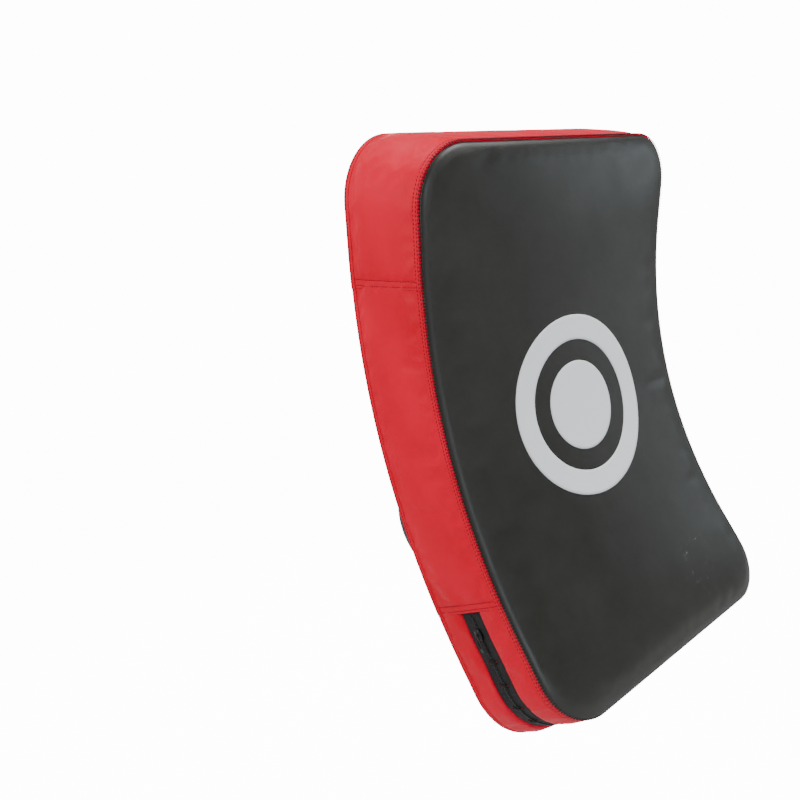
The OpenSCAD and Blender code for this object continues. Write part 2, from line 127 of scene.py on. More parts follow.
def outline(s):
    """Point and outward direction at length s round the outline, from the middle of the bottom."""
    a, b, r = HALF_W, HALF_L, CORNER
    parts = [a - r, r * math.pi / 2, 2 * (b - r), r * math.pi / 2, 2 * (a - r),
             r * math.pi / 2, 2 * (b - r), r * math.pi / 2, a - r]
    starts = np.concatenate([[0], np.cumsum(parts)])
    s = np.mod(np.asarray(s, float), starts[-1])
    k = np.clip(np.searchsorted(starts, s, side="right") - 1, 0, 8)
    t = s - starts[k]
    u, v, nu, nv = (np.zeros_like(s) for _ in range(4))
    lines = {0: (0, -b, 1, 0, 0, -1), 2: (a, -(b - r), 0, 1, 1, 0), 4: (a - r, b, -1, 0, 0, 1),
             6: (-a, b - r, 0, -1, -1, 0), 8: (-(a - r), -b, 1, 0, 0, -1)}
    for i, (x0, y0, dx, dy, nx, ny) in lines.items():
        m = k == i
        u[m], v[m], nu[m], nv[m] = x0 + dx * t[m], y0 + dy * t[m], nx, ny
    arcs = {1: (a - r, -(b - r), -90), 3: (a - r, b - r, 0), 5: (-(a - r), b - r, 90), 7: (-(a - r), -(b - r), 180)}
    for i, (cx, cy, d0) in arcs.items():
        m = k == i
        an = math.radians(d0) + t[m] / r
        u[m], v[m], nu[m], nv[m] = cx + r * np.cos(an), cy + r * np.sin(an), np.cos(an), np.sin(an)
    return u, v, nu, nv


PERIM = 4 * (HALF_W - CORNER) + 4 * (HALF_L - CORNER) + 2 * math.pi * CORNER
S_RIGHT = (HALF_W - CORNER) + CORNER * math.pi / 2 + (HALF_L - CORNER)


def soft(x, lo, hi):
    t = np.clip((x - lo) / (hi - lo), 0, 1)
    return t * t * (3 - 2 * t)


def bump_noise(x, y, scale, seed, octaves=3):
    """Smooth value noise on a plane, about -1 to 1."""
    g = np.random.default_rng(seed)
    out = 0.0
    amp, total = 1.0, 0.0
    for o in range(octaves):
        table = g.uniform(-1, 1, (64, 64))
        fx, fy = x / scale * 2**o + 11.3, y / scale * 2**o + 7.9
        ix, iy = np.floor(fx).astype(int), np.floor(fy).astype(int)
        tx, ty = fx - ix, fy - iy
        tx, ty = tx * tx * (3 - 2 * tx), ty * ty * (3 - 2 * ty)
        a = table[ix % 64, iy % 64] * (1 - tx) + table[(ix + 1) % 64, iy % 64] * tx
        b = table[ix % 64, (iy + 1) % 64] * (1 - tx) + table[(ix + 1) % 64, (iy + 1) % 64] * tx
        out = out + amp * (a * (1 - ty) + b * ty)
        total += amp
        amp *= 0.5
    return out / total


# ---- mesh helpers
def unit(x):
    """Vectors along the last axis, made one long."""
    return x / np.maximum(np.linalg.norm(x, axis=-1, keepdims=True), 1e-12)


def mesh_object(name, verts, faces, smooth=True):
    me = bpy.data.meshes.new(name)
    me.from_pydata([tuple(p) for p in np.asarray(verts, float)], [], [tuple(map(int, f)) for f in faces])
    me.update()
    if smooth:
        me.polygons.foreach_set("use_smooth", [True] * len(me.polygons))
    ob = bpy.data.objects.new(name, me)
    bpy.context.scene.collection.objects.link(ob)
    return ob


def solid_object(name, verts, faces):
    """A closed mesh with its faces turned outwards."""
    ob = mesh_object(name, verts, faces)
    bm = bmesh.new()
    bm.from_mesh(ob.data)
    bmesh.ops.recalc_face_normals(bm, faces=bm.faces)
    bm.to_mesh(ob.data)
    bm.free()
    return ob


def grid_faces(n, m):
    """Quads of an n by m grid of points."""
    return [[i * m + k, (i + 1) * m + k, (i + 1) * m + k + 1, i * m + k + 1]
            for i in range(n - 1) for k in range(m - 1)]


def ring_faces(n, m, closed=False, caps=True, base=0):
    """Quads between n rings of m points; closed joins the last ring to the first, caps fill open ends."""
    faces = []
    for i in range(n if closed else n - 1):
        a, b = base + i * m, base + (i + 1) % n * m
        faces += [[a + j, a + (j + 1) % m, b + (j + 1) % m, b + j] for j in range(m)]
    if caps and not closed:
        faces += [[base + j for j in range(m)][::-1], [base + (n - 1) * m + j for j in range(m)]]
    return faces


def sheet_mesh(name, top, thick, outward):
    """A closed thin sheet from an (n, m, 3) grid of its outer side, in metres; outward is (n, m, 3)."""
    n, m = top.shape[:2]
    low = top - outward * thick
    k = n * m
    faces = grid_faces(n, m)
    faces += [[a + k for a in f[::-1]] for f in faces]
    ring = [i * m for i in range(n)] + [(n - 1) * m + j for j in range(1, m)]
    ring += [i * m + m - 1 for i in range(n - 2, -1, -1)] + [j for j in range(m - 2, 0, -1)]
    faces += [[b, a, a + k, b + k] for a, b in zip(ring, ring[1:] + ring[:1])]
    return solid_object(name, np.concatenate([top.reshape(-1, 3), low.reshape(-1, 3)]), faces)


def grid_normals(p):
    """Unit normals of an (n, m, 3) grid."""
    return unit(np.cross(np.gradient(p, axis=0), np.gradient(p, axis=1)))


def stitch_rows(name, rows, length=3.3, pitch=4.3, radius=0.42, sag=0.35):
    """One mesh of separate stitches along rows of (points, normals) in metres; the sizes are in mm."""
    verts, faces = [], []
    ring, cuts, sink = 6, 5, 0.1
    x = np.linspace(-1, 1, cuts)
    r = radius / 1000 * np.sqrt(np.maximum(1 - (0.93 * x) ** 2, 0.05)) ** 0.8
    lift = (sag * (1 - x * x) - sink) / 1000
    for pts, nrm in rows:
        seg = np.linalg.norm(np.diff(pts, axis=0), axis=1)
        dist = np.concatenate([[0], np.cumsum(seg)])
        count = max(1, int(dist[-1] * 1000 / pitch))
        real = dist[-1] / count
        for c in range(count):
            ends = (c + 0.5) * real + np.linspace(-0.5, 0.5, cuts) * length / 1000
            ends = np.clip(ends, 0, dist[-1])
            mid = np.stack([np.interp(ends, dist, pts[:, i]) for i in range(3)], -1)
            nor = unit(np.stack([np.interp(ends, dist, nrm[:, i]) for i in range(3)], -1))
            tan = mid[-1] - mid[0]
            side = np.cross(nor, tan / max(np.linalg.norm(tan), 1e-9))
            faces += ring_faces(cuts, ring, base=len(verts))
            for i in range(cuts):
                for j in range(ring):
                    an = 2 * math.pi * j / ring
                    verts.append(mid[i] + nor[i] * (lift[i] + r[i] * math.sin(an)) + side[i] * r[i] * math.cos(an))
    return mesh_object(name, verts, faces)


def loop_tube(centre, radius, ring):
    """A round tube round a closed loop of (n, 3) points in metres."""
    tan = unit(np.gradient(centre, axis=0))
    ref = np.array([0.0, 0.0, 1.0]) if abs(tan[0][2]) < 0.9 else np.array([1.0, 0.0, 0.0])
    side = unit(np.cross(tan, ref))
    up = np.cross(side, tan)
    an = np.linspace(0, 2 * math.pi, ring, endpoint=False)
    pts = centre[:, None] + radius * (
        side[:, None] * np.cos(an)[None, :, None] + up[:, None] * np.sin(an)[None, :, None])
    return pts.reshape(-1, 3), ring_faces(len(centre), ring, closed=True)


def merged(name, chunks):
    """One piece from several closed (points, faces) chunks."""
    verts, faces, base = [], [], 0
    for v, f in chunks:
        verts.append(np.asarray(v))
        faces += [[a + base for a in q] for q in f]
        base += len(v)
    return solid_object(name, np.concatenate(verts), faces)


# ---- materials
def node(nt, kind, **sets):
    n = nt.nodes.new(kind)
    for k, v in sets.items():
        if hasattr(n, k):
            setattr(n, k, v)
        else:
            n.inputs[k].default_value = v
    return n


def ramp(nt, src, stops):
    r = nt.nodes.new("ShaderNodeValToRGB")
    els = r.color_ramp.elements
    els[0].position, els[0].color = stops[0][0], (*stops[0][1], 1)
    els[1].position, els[1].color = stops[-1][0], (*stops[-1][1], 1)
    for p, c in stops[1:-1]:
        e = els.new(p)
        e.color = (*c, 1)
    nt.links.new(src, r.inputs["Fac"])
    return r.outputs["Color"]


class Shader:
    """A new material. Its textures read object coordinates, and each method returns what its node puts out."""

    def __init__(self, name, surface):
        self.mat = bpy.data.materials.new(name)
        self.mat.use_nodes = True
        self.tree = self.mat.node_tree
        self.bsdf = self.tree.nodes["Principled BSDF"]
        self.spot = node(self.tree, "ShaderNodeTexCoord").outputs["Object"]
        for socket, value in surface.items():
            self.bsdf.inputs[socket].default_value = value

    def link(self, source, target):
        self.tree.links.new(source, target)

    def feed(self, socket, source):
        self.link(source, self.bsdf.inputs[socket])

    def texture(self, kind, out="Fac", **sets):
        n = node(self.tree, "ShaderNodeTex" + kind, **sets)
        self.link(self.spot, n.inputs["Vector"])
        return n.outputs[out]

    def ramp(self, source, stops):
        return ramp(self.tree, source, stops)

    def bump(self, height, strength, distance, under=None):
        b = node(self.tree, "ShaderNodeBump", Strength=strength, Distance=distance)
        self.link(height, b.inputs["Height"])
        if under is not None:
            self.link(under, b.inputs["Normal"])
        return b.outputs["Normal"]

    def remap(self, value, start, stop, low=0.0, high=1.0):
        n = node(self.tree, "ShaderNodeMapRange")
        for socket, number in (("From Min", start), ("From Max", stop), ("To Min", low), ("To Max", high)):
            n.inputs[socket].default_value = number
        self.link(value, n.inputs["Value"])
        return n.outputs["Result"]

    def calc(self, operation, a, b=None):
        """Arithmetic on an output and a second output or a number."""
        n = node(self.tree, "ShaderNodeMath", operation=operation)
        self.link(a, n.inputs[0])
        if isinstance(b, float):
            n.inputs[1].default_value = b
        elif b is not None:
            self.link(b, n.inputs[1])
        return n.outputs[0]

    def mix(self, share, under, over):
        """A plain colour laid over a colour output by a share."""
        n = node(self.tree, "ShaderNodeMix", data_type="RGBA")
        n.inputs[7].default_value = (*over, 1)
        self.link(share, n.inputs[0])
        self.link(under, n.inputs[6])
        return n.outputs[2]


def leathercloth(name, dark, light, rough=(0.38, 0.5), grain=1.0, crease=0.25, scuffs=None, spec=0.5, coat=0.0):
    """Coated cloth: fine pebbled grain, faint creases, uneven sheen and colour, and a painted highlight that makes
    sharp edges paler.
    """
    s = Shader(name, {"Specular IOR Level": spec, "Coat Weight": coat, "Coat Roughness": 0.25})
    cloud = s.texture("Noise", Scale=9.0, Detail=4.0, Roughness=0.55)
    colour = s.ramp(cloud, [(0.3, dark), (0.7, light)])
    pebble = s.texture("Voronoi", "Distance", Scale=1400.0, feature="SMOOTH_F1", Smoothness=0.7)
    fine = s.texture("Noise", Scale=2600.0, Detail=2.0)
    wave = s.texture("Noise", Scale=55.0, Detail=3.0, Distortion=0.6)
    grained = s.bump(fine, 0.12 * grain, 0.0002, s.bump(pebble, 0.22 * grain, 0.0003))
    s.feed("Normal", s.bump(wave, crease, 0.0016, grained))
    sheen = s.texture("Noise", Scale=26.0, Detail=5.0, Roughness=0.6)
    s.feed("Roughness", s.remap(sheen, 0.3, 0.7, *rough))
    # painted highlight: sharp edges, found by pointiness, get a paler colour mixed in
    edges = node(s.tree, "ShaderNodeNewGeometry").outputs["Pointiness"]
    edge_highlight_colour = [min(1.0, c * 1.3 + 0.004) for c in light]
    colour = s.mix(s.remap(edges, 0.53, 0.62, 0.0, 0.35), colour, edge_highlight_colour)
    if scuffs is not None:
        centre, reach = scuffs
        line = s.texture("Noise", Scale=70.0, Detail=1.5, Distortion=1.4)
        thin = s.remap(s.calc("ABSOLUTE", s.calc("SUBTRACT", line, 0.5)), 0.003, 0.0)
        off = node(s.tree, "ShaderNodeVectorMath", operation="DISTANCE")
        off.inputs[1].default_value = centre
        s.link(s.spot, off.inputs[0])
        close = s.remap(off.outputs["Value"], reach, reach * 0.5)
        gate = s.remap(s.texture("Noise", Scale=130.0, Detail=2.0), 0.54, 0.62)
        colour = s.mix(s.calc("MULTIPLY", s.calc("MULTIPLY", thin, close), gate), colour, (0.42, 0.43, 0.42))
    s.feed("Base Color", colour)
    return s.mat


def thread_mat(name, rgb):
    s = Shader(name, {"Roughness": 0.55, "Sheen Weight": 0.06, "Specular IOR Level": 0.25})
    twist = s.texture("Wave", Scale=900.0, Distortion=1.0, bands_direction="DIAGONAL")
    s.feed("Base Color", s.ramp(twist, [(0.2, [c * 0.7 for c in rgb]), (0.8, rgb)]))
    s.feed("Normal", s.bump(twist, 0.5, 0.0002))
    return s.mat


def woven_mat(name, rgb, scale):
    """A plain weave: two crossed sets of ribs."""
    s = Shader(name, {"Roughness": 0.7, "Specular IOR Level": 0.25, "Sheen Weight": 0.06, "Sheen Roughness": 0.5})
    across = s.texture("Wave", Scale=scale, Distortion=0.4, bands_direction="X")
    along = s.texture("Wave", Scale=scale * 0.8, Distortion=0.4, bands_direction="Z")
    weave = s.calc("MULTIPLY", across, along)
    uneven = s.calc("MULTIPLY", weave, s.texture("Noise", Scale=60.0, Detail=4.0))
    bright = [min(1, c * 1.9 + 0.003) for c in rgb]
    s.feed("Base Color", s.ramp(uneven, [(0.0, [c * 0.5 for c in rgb]), (0.6, bright)]))
    s.feed("Normal", s.bump(weave, 0.6, 0.0004))
    return s.mat


def metal_mat(name, rgb, rough=0.22):
    s = Shader(name, {"Metallic": 1.0})
    blotch = s.texture("Noise", Scale=300.0, Detail=6.0)
    s.feed("Base Color", s.ramp(blotch, [(0.35, [c * 0.75 for c in rgb]), (0.65, rgb)]))
    s.feed("Roughness", s.remap(blotch, 0.0, 1.0, rough * 0.7, rough * 1.6))
    return s.mat


def foam_mat(name, rgb):
    s = Shader(name, {"Roughness": 0.9})
    cell = s.texture("Voronoi", "Distance", Scale=700.0)
    s.feed("Base Color", s.ramp(cell, [(0.0, [c * 0.6 for c in rgb]), (0.6, rgb)]))
    s.feed("Normal", s.bump(cell, 0.6, 0.0005))
    return s.mat


scuff_at = place(95.0, -235.0, -6.0)
BLACK = leathercloth("black_leathercloth", (0.015, 0.0145, 0.012), (0.022, 0.0215, 0.018), rough=(0.29, 0.38),
                     grain=0.6, crease=0.06, scuffs=(tuple(scuff_at), 0.045), spec=0.5)
BLACK_BACK = leathercloth("black_leathercloth_back", (0.017, 0.018, 0.018), (0.03, 0.03, 0.028), rough=(0.4, 0.52),
                          grain=1.0, crease=0.2)
RED = leathercloth("red_leathercloth", (0.62, 0.0, 0.018), (0.76, 0.0005, 0.030), rough=(0.38, 0.48), grain=0.5,
                   crease=0.07, spec=0.09)
SLEEVE = leathercloth("black_sleeve", (0.010, 0.010, 0.011), (0.02, 0.02, 0.021), rough=(0.22, 0.34), grain=0.6,
                      crease=0.3, coat=0.25)
PRINT = leathercloth("white_print", (0.91, 0.95, 0.97), (0.95, 0.98, 0.99), rough=(0.42, 0.55), grain=0.7, crease=0.12)
RED_THREAD = thread_mat("red_thread", (0.24, 0.0005, 0.006))
DARK_THREAD = thread_mat("dark_thread", (0.008, 0.003, 0.004))
TAPE_MAT = woven_mat("zip_tape", (0.006, 0.006, 0.0065), scale=700.0)
NYLON = woven_mat("black_nylon", (0.009, 0.009, 0.011), scale=450.0)
COIL = leathercloth("zip_plastic", (0.005, 0.005, 0.005), (0.012, 0.012, 0.012), rough=(0.28, 0.42), grain=0.2)
BRASS = metal_mat("brass_rivet", (0.83, 0.60, 0.25))
STEEL = metal_mat("steel_washer", (0.6, 0.6, 0.6), 0.35)
FOAM_A = foam_mat("soft_foam", (0.3, 0.32, 0.35))
FOAM_B = foam_mat("firm_foam", (0.75, 0.75, 0.7))


def dress(ob, mat, cad=(), body="pad"):
    """Gives a piece its material and, unless body is None, its body, and hides the CAD nodes it stands for."""
    ob.data.materials.append(mat)
    if body:
        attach(ob, body)
    if cad:
        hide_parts(*cad)
    return ob


def thread(name, rows, cad=(), mat=RED_THREAD, slot_name="red_thread", **sizes):
    """Stitches along rows as one dressed piece."""
    dress(stitch_rows(name, rows, **sizes), mat, cad)


# ---- cover shapes
def swell(u, v, edge, roll, power, crown, waves, ease):
    """Height of a padded cover over its seam: a rolled edge, a crowned middle and slow waves."""
    d = inside(u, v)
    t = np.clip(d / edge, 0, 1)
    body = np.clip((1 - (u / HALF_W) ** 2) * (1 - (v / HALF_L) ** 2), 0, 1)
    wave = sum(size * bump_noise(u, v, scale, seed) for size, scale, seed in waves)
    return roll * np.sqrt(np.maximum(1 - (1 - t) ** power, 0)) + crown * body ** 0.75 + wave * soft(d, *ease)


def front_h(u, v):
    """How far the face stands out in front of its seam."""
    return swell(u, v, 26.0, 5.2, 2.4, 6.2, ((0.35, 95.0, 3), (0.06, 28.0, 5)), (6, 45))


def back_h(u, v):
    """How far the back cover stands out behind its seam."""
    return swell(u, v, 10.0, 1.7, 2, 0.7, ((0.35, 70.0, 13), (0.15, 24.0, 15)), (4, 40))


def face_grid():
    """Across and along coordinates of a face, finer at the seam, its corners drawn onto the rounded outline."""
    near = np.array([0, 0.8, 1.8, 3.0, 4.5, 6.4, 8.6, 11.2, 14.5, 18.5, 23.5, 30, 38, 47, CORNER])
    mid_u = np.linspace(CORNER - HALF_W, HALF_W - CORNER, 49)[1:-1]
    mid_v = np.linspace(CORNER - HALF_L, HALF_L - CORNER, 83)[1:-1]
    gu = np.concatenate([near - HALF_W, mid_u, (HALF_W - near)[::-1]])
    gv = np.concatenate([near - HALF_L, mid_v, (HALF_L - near)[::-1]])
    u, v = np.meshgrid(gu, gv, indexing="ij")
    x = np.clip((np.abs(u) - (HALF_W - CORNER)) / CORNER, 0, 1)
    y = np.clip((np.abs(v) - (HALF_L - CORNER)) / CORNER, 0, 1)
    fx = x * np.sqrt(1 - y * y / 2)
    fy = y * np.sqrt(1 - x * x / 2)
    uu = np.where(np.abs(u) > HALF_W - CORNER, np.sign(u) * (HALF_W - CORNER + CORNER * fx), u)
    vv = np.where(np.abs(v) > HALF_L - CORNER, np.sign(v) * (HALF_L - CORNER + CORNER * fy), v)
    return uu, vv


def relax(points, pinned, pressure, loosen, cap, frames=12):
    """Lets a sewn panel settle as cloth: held at its seams, blown out a little, cut slightly loose.
    No point moves further than cap, in metres."""
    n, m = points.shape[:2]
    ob = mesh_object("settling", points.reshape(-1, 3), grid_faces(n, m), smooth=False)
    vg = ob.vertex_groups.new(name="held")
    flat = pinned.ravel()
    for w in np.unique(flat[flat > 0]):
        vg.add([int(i) for i in np.nonzero(flat == w)[0]], float(w), "REPLACE")
    mod = ob.modifiers.new("cloth", "CLOTH")
    st = mod.settings
    st.quality = 6
    st.mass = 0.25
    st.tension_stiffness = st.compression_stiffness = 25
    st.shear_stiffness = 12
    st.bending_stiffness = 1.2
    st.tension_damping = st.compression_damping = 12
    st.air_damping = 4
    st.effector_weights.gravity = 0
    st.vertex_group_mass = "held"
    st.shrink_min = -loosen
    st.use_pressure = True
    st.uniform_pressure_force = pressure
    mod.collision_settings.use_collision = False
    scene = bpy.context.scene
    for f in range(1, frames + 1):
        scene.frame_set(f)
    dg = bpy.context.evaluated_depsgraph_get()
    ev = ob.evaluated_get(dg)
    co = np.empty(len(ev.data.vertices) * 3)
    ev.data.vertices.foreach_get("co", co)
    scene.frame_set(1)
    me = ob.data
    bpy.data.objects.remove(ob)
    bpy.data.meshes.remove(me)
    moved = co.reshape(n, m, 3) - points
    if not np.isfinite(moved).all():
        return points
    size = np.linalg.norm(moved, axis=-1, keepdims=True)
    moved *= np.minimum(1.0, cap / np.maximum(size, 1e-9))
    print("settled panel: moved up to %.2f mm, mean %.2f mm" % (size.max() * 1000, size.mean() * 1000))
    return points + moved


class Patch:
    """A grid of surface points over two rising coordinates, read between its points."""

    def __init__(self, a, b, pts):
        self.a, self.b, self.p = a, b, pts
        self.n = grid_normals(pts)

    def face(self, spot, way):
        """Turns the normals so that the one at spot looks along way."""
        if np.dot(self.n[spot], way) < 0:
            self.n = -self.n

    def read(self, a, b):
        a, b = np.broadcast_arrays(np.asarray(a, float), np.asarray(b, float))
        i = np.clip(np.searchsorted(self.a, a) - 1, 0, len(self.a) - 2)
        j = np.clip(np.searchsorted(self.b, b) - 1, 0, len(self.b) - 2)
        s = ((a - self.a[i]) / (self.a[i + 1] - self.a[i]))[..., None]
        t = ((b - self.b[j]) / (self.b[j + 1] - self.b[j]))[..., None]

        def mix(g):
            low, high = (g[i, q] * (1 - s) + g[i + 1, q] * s for q in (j, j + 1))
            return low * (1 - t) + high * t
        return mix(self.p), unit(mix(self.n))


# face and back cover, and the white print
fu, fv = face_grid()
rim = inside(fu, fv)
held = np.where(rim < 2.5, 1.0, np.where(rim < 8, 0.6, 0.0))
BACKWARDS = np.array([0.0, 1.0, 0.0])


def cover(name, w, skirt_w, way, mat, cad, **cloth):
    """A cover at depth w, its outermost points drawn half way down to skirt_w; gives its grid as a Patch."""
    patch = Patch(fu[:, fu.shape[1] // 2], fv[fv.shape[0] // 2, :], relax(place(fu, fv, w), held, **cloth))
    patch.face(CHEEK, way)
    drawn = np.where((rim < 0.01)[..., None], place(fu, fv, skirt_w) * 0.5 + patch.p * 0.5, patch.p)
    dress(sheet_mesh(name, drawn, COVER_THICK, patch.n), mat, [cad])
    return patch


face_patch = cover("front_cover", -front_h(fu, fv), 1.6, -BACKWARDS, BLACK, "front_panel",
                   pressure=1.2, loosen=0.001, cap=0.0005, frames=14)


def round_print(name, r0, r1, cad):
    rr = np.linspace(max(r0, 0.5), r1, 9 if r0 else 16)
    an = np.linspace(0, 2 * math.pi, 181)
    rr, an = np.meshgrid(rr, an, indexing="ij")
    p, nn = face_patch.read(rr * np.cos(an), TARGET_Z + rr * np.sin(an))
    p = (p + nn * 0.00022)[:, :-1]
    n, m = p.shape[:2]
    faces = ring_faces(n, m, caps=False)
    if r0 == 0:
        faces.append(list(range(m))[::-1])
    ob = mesh_object(name, p.reshape(-1, 3), faces)
    so = ob.modifiers.new("thick", "SOLIDIFY")
    so.thickness = 0.00028
    so.offset = 0
    dress(ob, PRINT, [cad])


round_print("target_print_ring", 78.0, 107.0, "target_ring")
round_print("target_print_disc", 0, 53.0, "target_disc")
cover("back_cover", DEPTH + back_h(fu, fv), DEPTH - 1.6, BACKWARDS, BLACK_BACK, "back_panel",
      pressure=0.8, loosen=0.004, cap=0.0006)


# ---- gusset
def level(v):
    """Which layer a gusset panel lies on: cap over sides over zip panels."""
    up, down = soft(v, UPPER_SEAM - 1.5, UPPER_SEAM + 0.5), soft(v, LOWER_SEAM - 0.5, LOWER_SEAM + 1.5)
    return 0.9 * up - 0.9 * (1 - down)


def round_edge(s, w, b):
    """Points at length s round the outline and depth w, standing b outwards of it."""
    s, w, b = np.broadcast_arrays(s, w, b)
    u, v, nu, nv = (q.reshape(s.shape) for q in outline(s.ravel()))
    return place(u + nu * b, v + nv * b, w)


def gusset_panel(name, cad, s0, s1, w0, w1, layer, puff, seed, rows=(), ends=(0, 0), tuck=(0, 0)):
    """One sewn gusset panel from s0 to s1 round the outline and w0 to w1 in depth. rows dent it under its
    stitching, ends say which ends are turned down, tuck how far its front and rear edges are."""
    m = max(12, int((w1 - w0) / 3.4) + 2)
    near_ends = [s0 + 0.5, s0 + 1.2, s0 + 2.2, s1 - 0.5, s1 - 1.2, s1 - 2.2]
    near_rows = [r + q for r in rows for q in (-1.0, 0.0, 1.0)]
    s = np.linspace(s0, s1, int((s1 - s0) / 3.4) + 2)
    s = np.unique(np.round(np.concatenate([s, near_ends, near_rows]), 3))
    k = np.linspace(-1, 1, m)
    w = (w0 + w1) / 2 + (w1 - w0) / 2 * np.sign(k) * np.abs(k) ** 0.8
    sg, wg = np.meshgrid(s, w, indexing="ij")
    u, v, _, _ = (q.reshape(sg.shape) for q in outline(sg.ravel()))
    x = np.clip(2 * (wg - (w0 + w1) / 2) / (w1 - w0), -1, 1)
    b = layer + puff * (1 - np.abs(x) ** 2.6)
    corner = soft(np.abs(v), 236, 262) * soft(np.abs(u), 136, 160)
    ripple = np.sin(sg / 2.6 + 2.0 * bump_noise(sg, wg, 40.0, seed)) * 0.26
    folds = corner * (ripple + 0.3 * bump_noise(sg, wg * 0.3, 9.0, seed + 2))
    b = b + (1 - np.abs(x) ** 3) * (0.35 * bump_noise(sg, wg, 60.0, seed + 1) + folds)
    for r in rows:
        b = b - 0.32 * np.exp(-((sg - r) / 1.3) ** 2)
    for flag, at in zip(ends, (s0, s1)):
        if flag:
            b = b - 1.0 * (1 - soft(np.abs(sg - at), 0.0, 1.3))
    for fall, at in zip(tuck, (w0, w1)):
        if fall:
            t = 1 - np.clip(np.abs(wg - at) / 3.2, 0, 1)
            b = b - fall * (1 - np.sqrt(np.clip(1 - t ** 2, 0, 1)))
    hold = np.zeros(sg.shape)
    hold[:, :1] = hold[:, -1:] = 1.0
    hold[:2] = hold[-2:] = 1.0
    for r in rows:
        hold[np.abs(s - r) < 1.2] = 0.9
    patch = Patch(s, w, relax(round_edge(sg, wg, b), hold, pressure=0.8, loosen=0.008, cap=0.0012))
    spot = (len(s) // 2, m // 2)
    patch.face(spot, round_edge(sg, wg, b + 5)[spot] - patch.p[spot])
    dress(sheet_mesh(name, patch.p, COVER_THICK, patch.n), RED, [cad])
    return patch


# lengths round the outline: the left side's middle is at SR, the right side's at SL
SR, SL = S_RIGHT, PERIM - S_RIGHT
WIDE = (GUSSET_W0, GUSSET_W1)
cap_rows = [SR + UPPER_SEAM + ROW_NEAR, SR + UPPER_SEAM + ROW_FAR,
            SL - UPPER_SEAM - ROW_FAR, SL - UPPER_SEAM - ROW_NEAR]
left_rows = [SR + LOWER_SEAM + ROW_NEAR, SR + LOWER_SEAM + ROW_FAR]
right_rows = [SL - LOWER_SEAM - ROW_FAR, SL - LOWER_SEAM - ROW_NEAR]
cap = gusset_panel("top_cap", "top_cap_gusset", SR + UPPER_SEAM, SL - UPPER_SEAM, *WIDE, 0.9, 2.3, 21,
                   rows=cap_rows, ends=(1, 1))
left_side = gusset_panel("left_side_panel", "left_side_gusset", SR + LOWER_SEAM, SR + UPPER_SEAM + GUSSET_LAP,
                         *WIDE, 0.0, 2.3, 31, rows=left_rows, ends=(1, 0))
right_side = gusset_panel("right_side_panel", "right_side_gusset", SL - UPPER_SEAM - GUSSET_LAP, SL - LOWER_SEAM,
                          *WIDE, 0.0, 2.3, 41, rows=right_rows, ends=(0, 1))
zip_s0, zip_s1 = SL - LOWER_SEAM - GUSSET_LAP - PERIM, SR + LOWER_SEAM + GUSSET_LAP
gusset_panel("zip_panel_front", "zip_gusset_front", zip_s0, zip_s1, GUSSET_W0, ZIP_W - TAPE / 2, -0.9, 1.3, 51,
             tuck=(0, 1.2))
gusset_panel("zip_panel_back", "zip_gusset_back", zip_s0, zip_s1, ZIP_W + TAPE / 2, GUSSET_W1, -0.9, 1.7, 61,
             tuck=(1.2, 0))


def ring_points(w, b, n):
    """n points all round at depth w, standing b off the gusset layer under them."""
    u, v, nu, nv = outline(np.linspace(0, PERIM, n, endpoint=False))
    off = b + level(v)
    return place(u + nu * off, v + nv * off, w)


def seam_ring(name, profile, cad=(), n=760):
    """A folded seam all round: profile is a list of (depth, offset) of its section."""
    p = np.stack([ring_points(w, b, n) for w, b in profile], 1)
    ob = solid_object(name, p.reshape(-1, 3), ring_faces(n, len(profile), closed=True))
    dress(ob, RED, cad)


seam_ring("front_seam", [(0.1, -1.2), (0.0, 0.1), (0.35, 0.75), (1.2, 1.15), (2.3, 1.15), (3.0, 0.85), (3.7, 1.2),
                         (6.2, 1.25), (6.9, 0.9), (7.6, 1.15), (8.5, 1.0), (9.1, 0.55), (9.2, -0.2), (8.6, -1.2)],
          cad=["front_seam_strip"])
seam_ring("back_seam", [(120.0, -1.2), (120.2, 0.1), (119.7, 0.8), (118.7, 1.1), (117.4, 1.1), (116.7, 0.8),
                        (116.0, 1.1), (113.2, 1.1), (112.4, 0.6), (112.2, -0.2), (112.8, -1.2)])


def ring_row(w, b):
    """A stitch row all round, closed, with its outward directions."""
    low, high = (np.vstack([q, q[:1]]) for q in (ring_points(w, b, 1200), ring_points(w, b + 3.0, 1200)))
    return low, unit(high - low)


thread("front_seam_thread", [ring_row(3.0, 0.95), ring_row(6.9, 0.95)], ["rim_stitching"], length=3.0, pitch=3.9)
thread("back_seam_thread", [ring_row(116.7, 0.9)], length=3.0, pitch=3.9)
# the closing stitches that bite across the edge between face and gusset
bites = []
bite_count = int(PERIM / 3.1)
for a, b, c in zip(ring_points(-2.2, 0.1, bite_count), ring_points(1.5, 1.4, bite_count),
                   ring_points(-0.4, 1.1, bite_count)):
    bites.append((np.array([a, c, b]), np.array([unit(c - (a + b) / 2)] * 3)))
thread("edge_bites", bites, (), DARK_THREAD, "black_thread", length=3.8, pitch=9.0, radius=0.55, sag=0.1)
w_line = np.linspace(9.6, 111.8, 40)
gusset_rows = [panel.read(np.full(40, s), w_line)
               for panel, at in ((cap, cap_rows), (left_side, left_rows), (right_side, right_rows)) for s in at]
thread("gusset_thread", gusset_rows, ["gusset_stitching"], length=3.0, pitch=3.9)


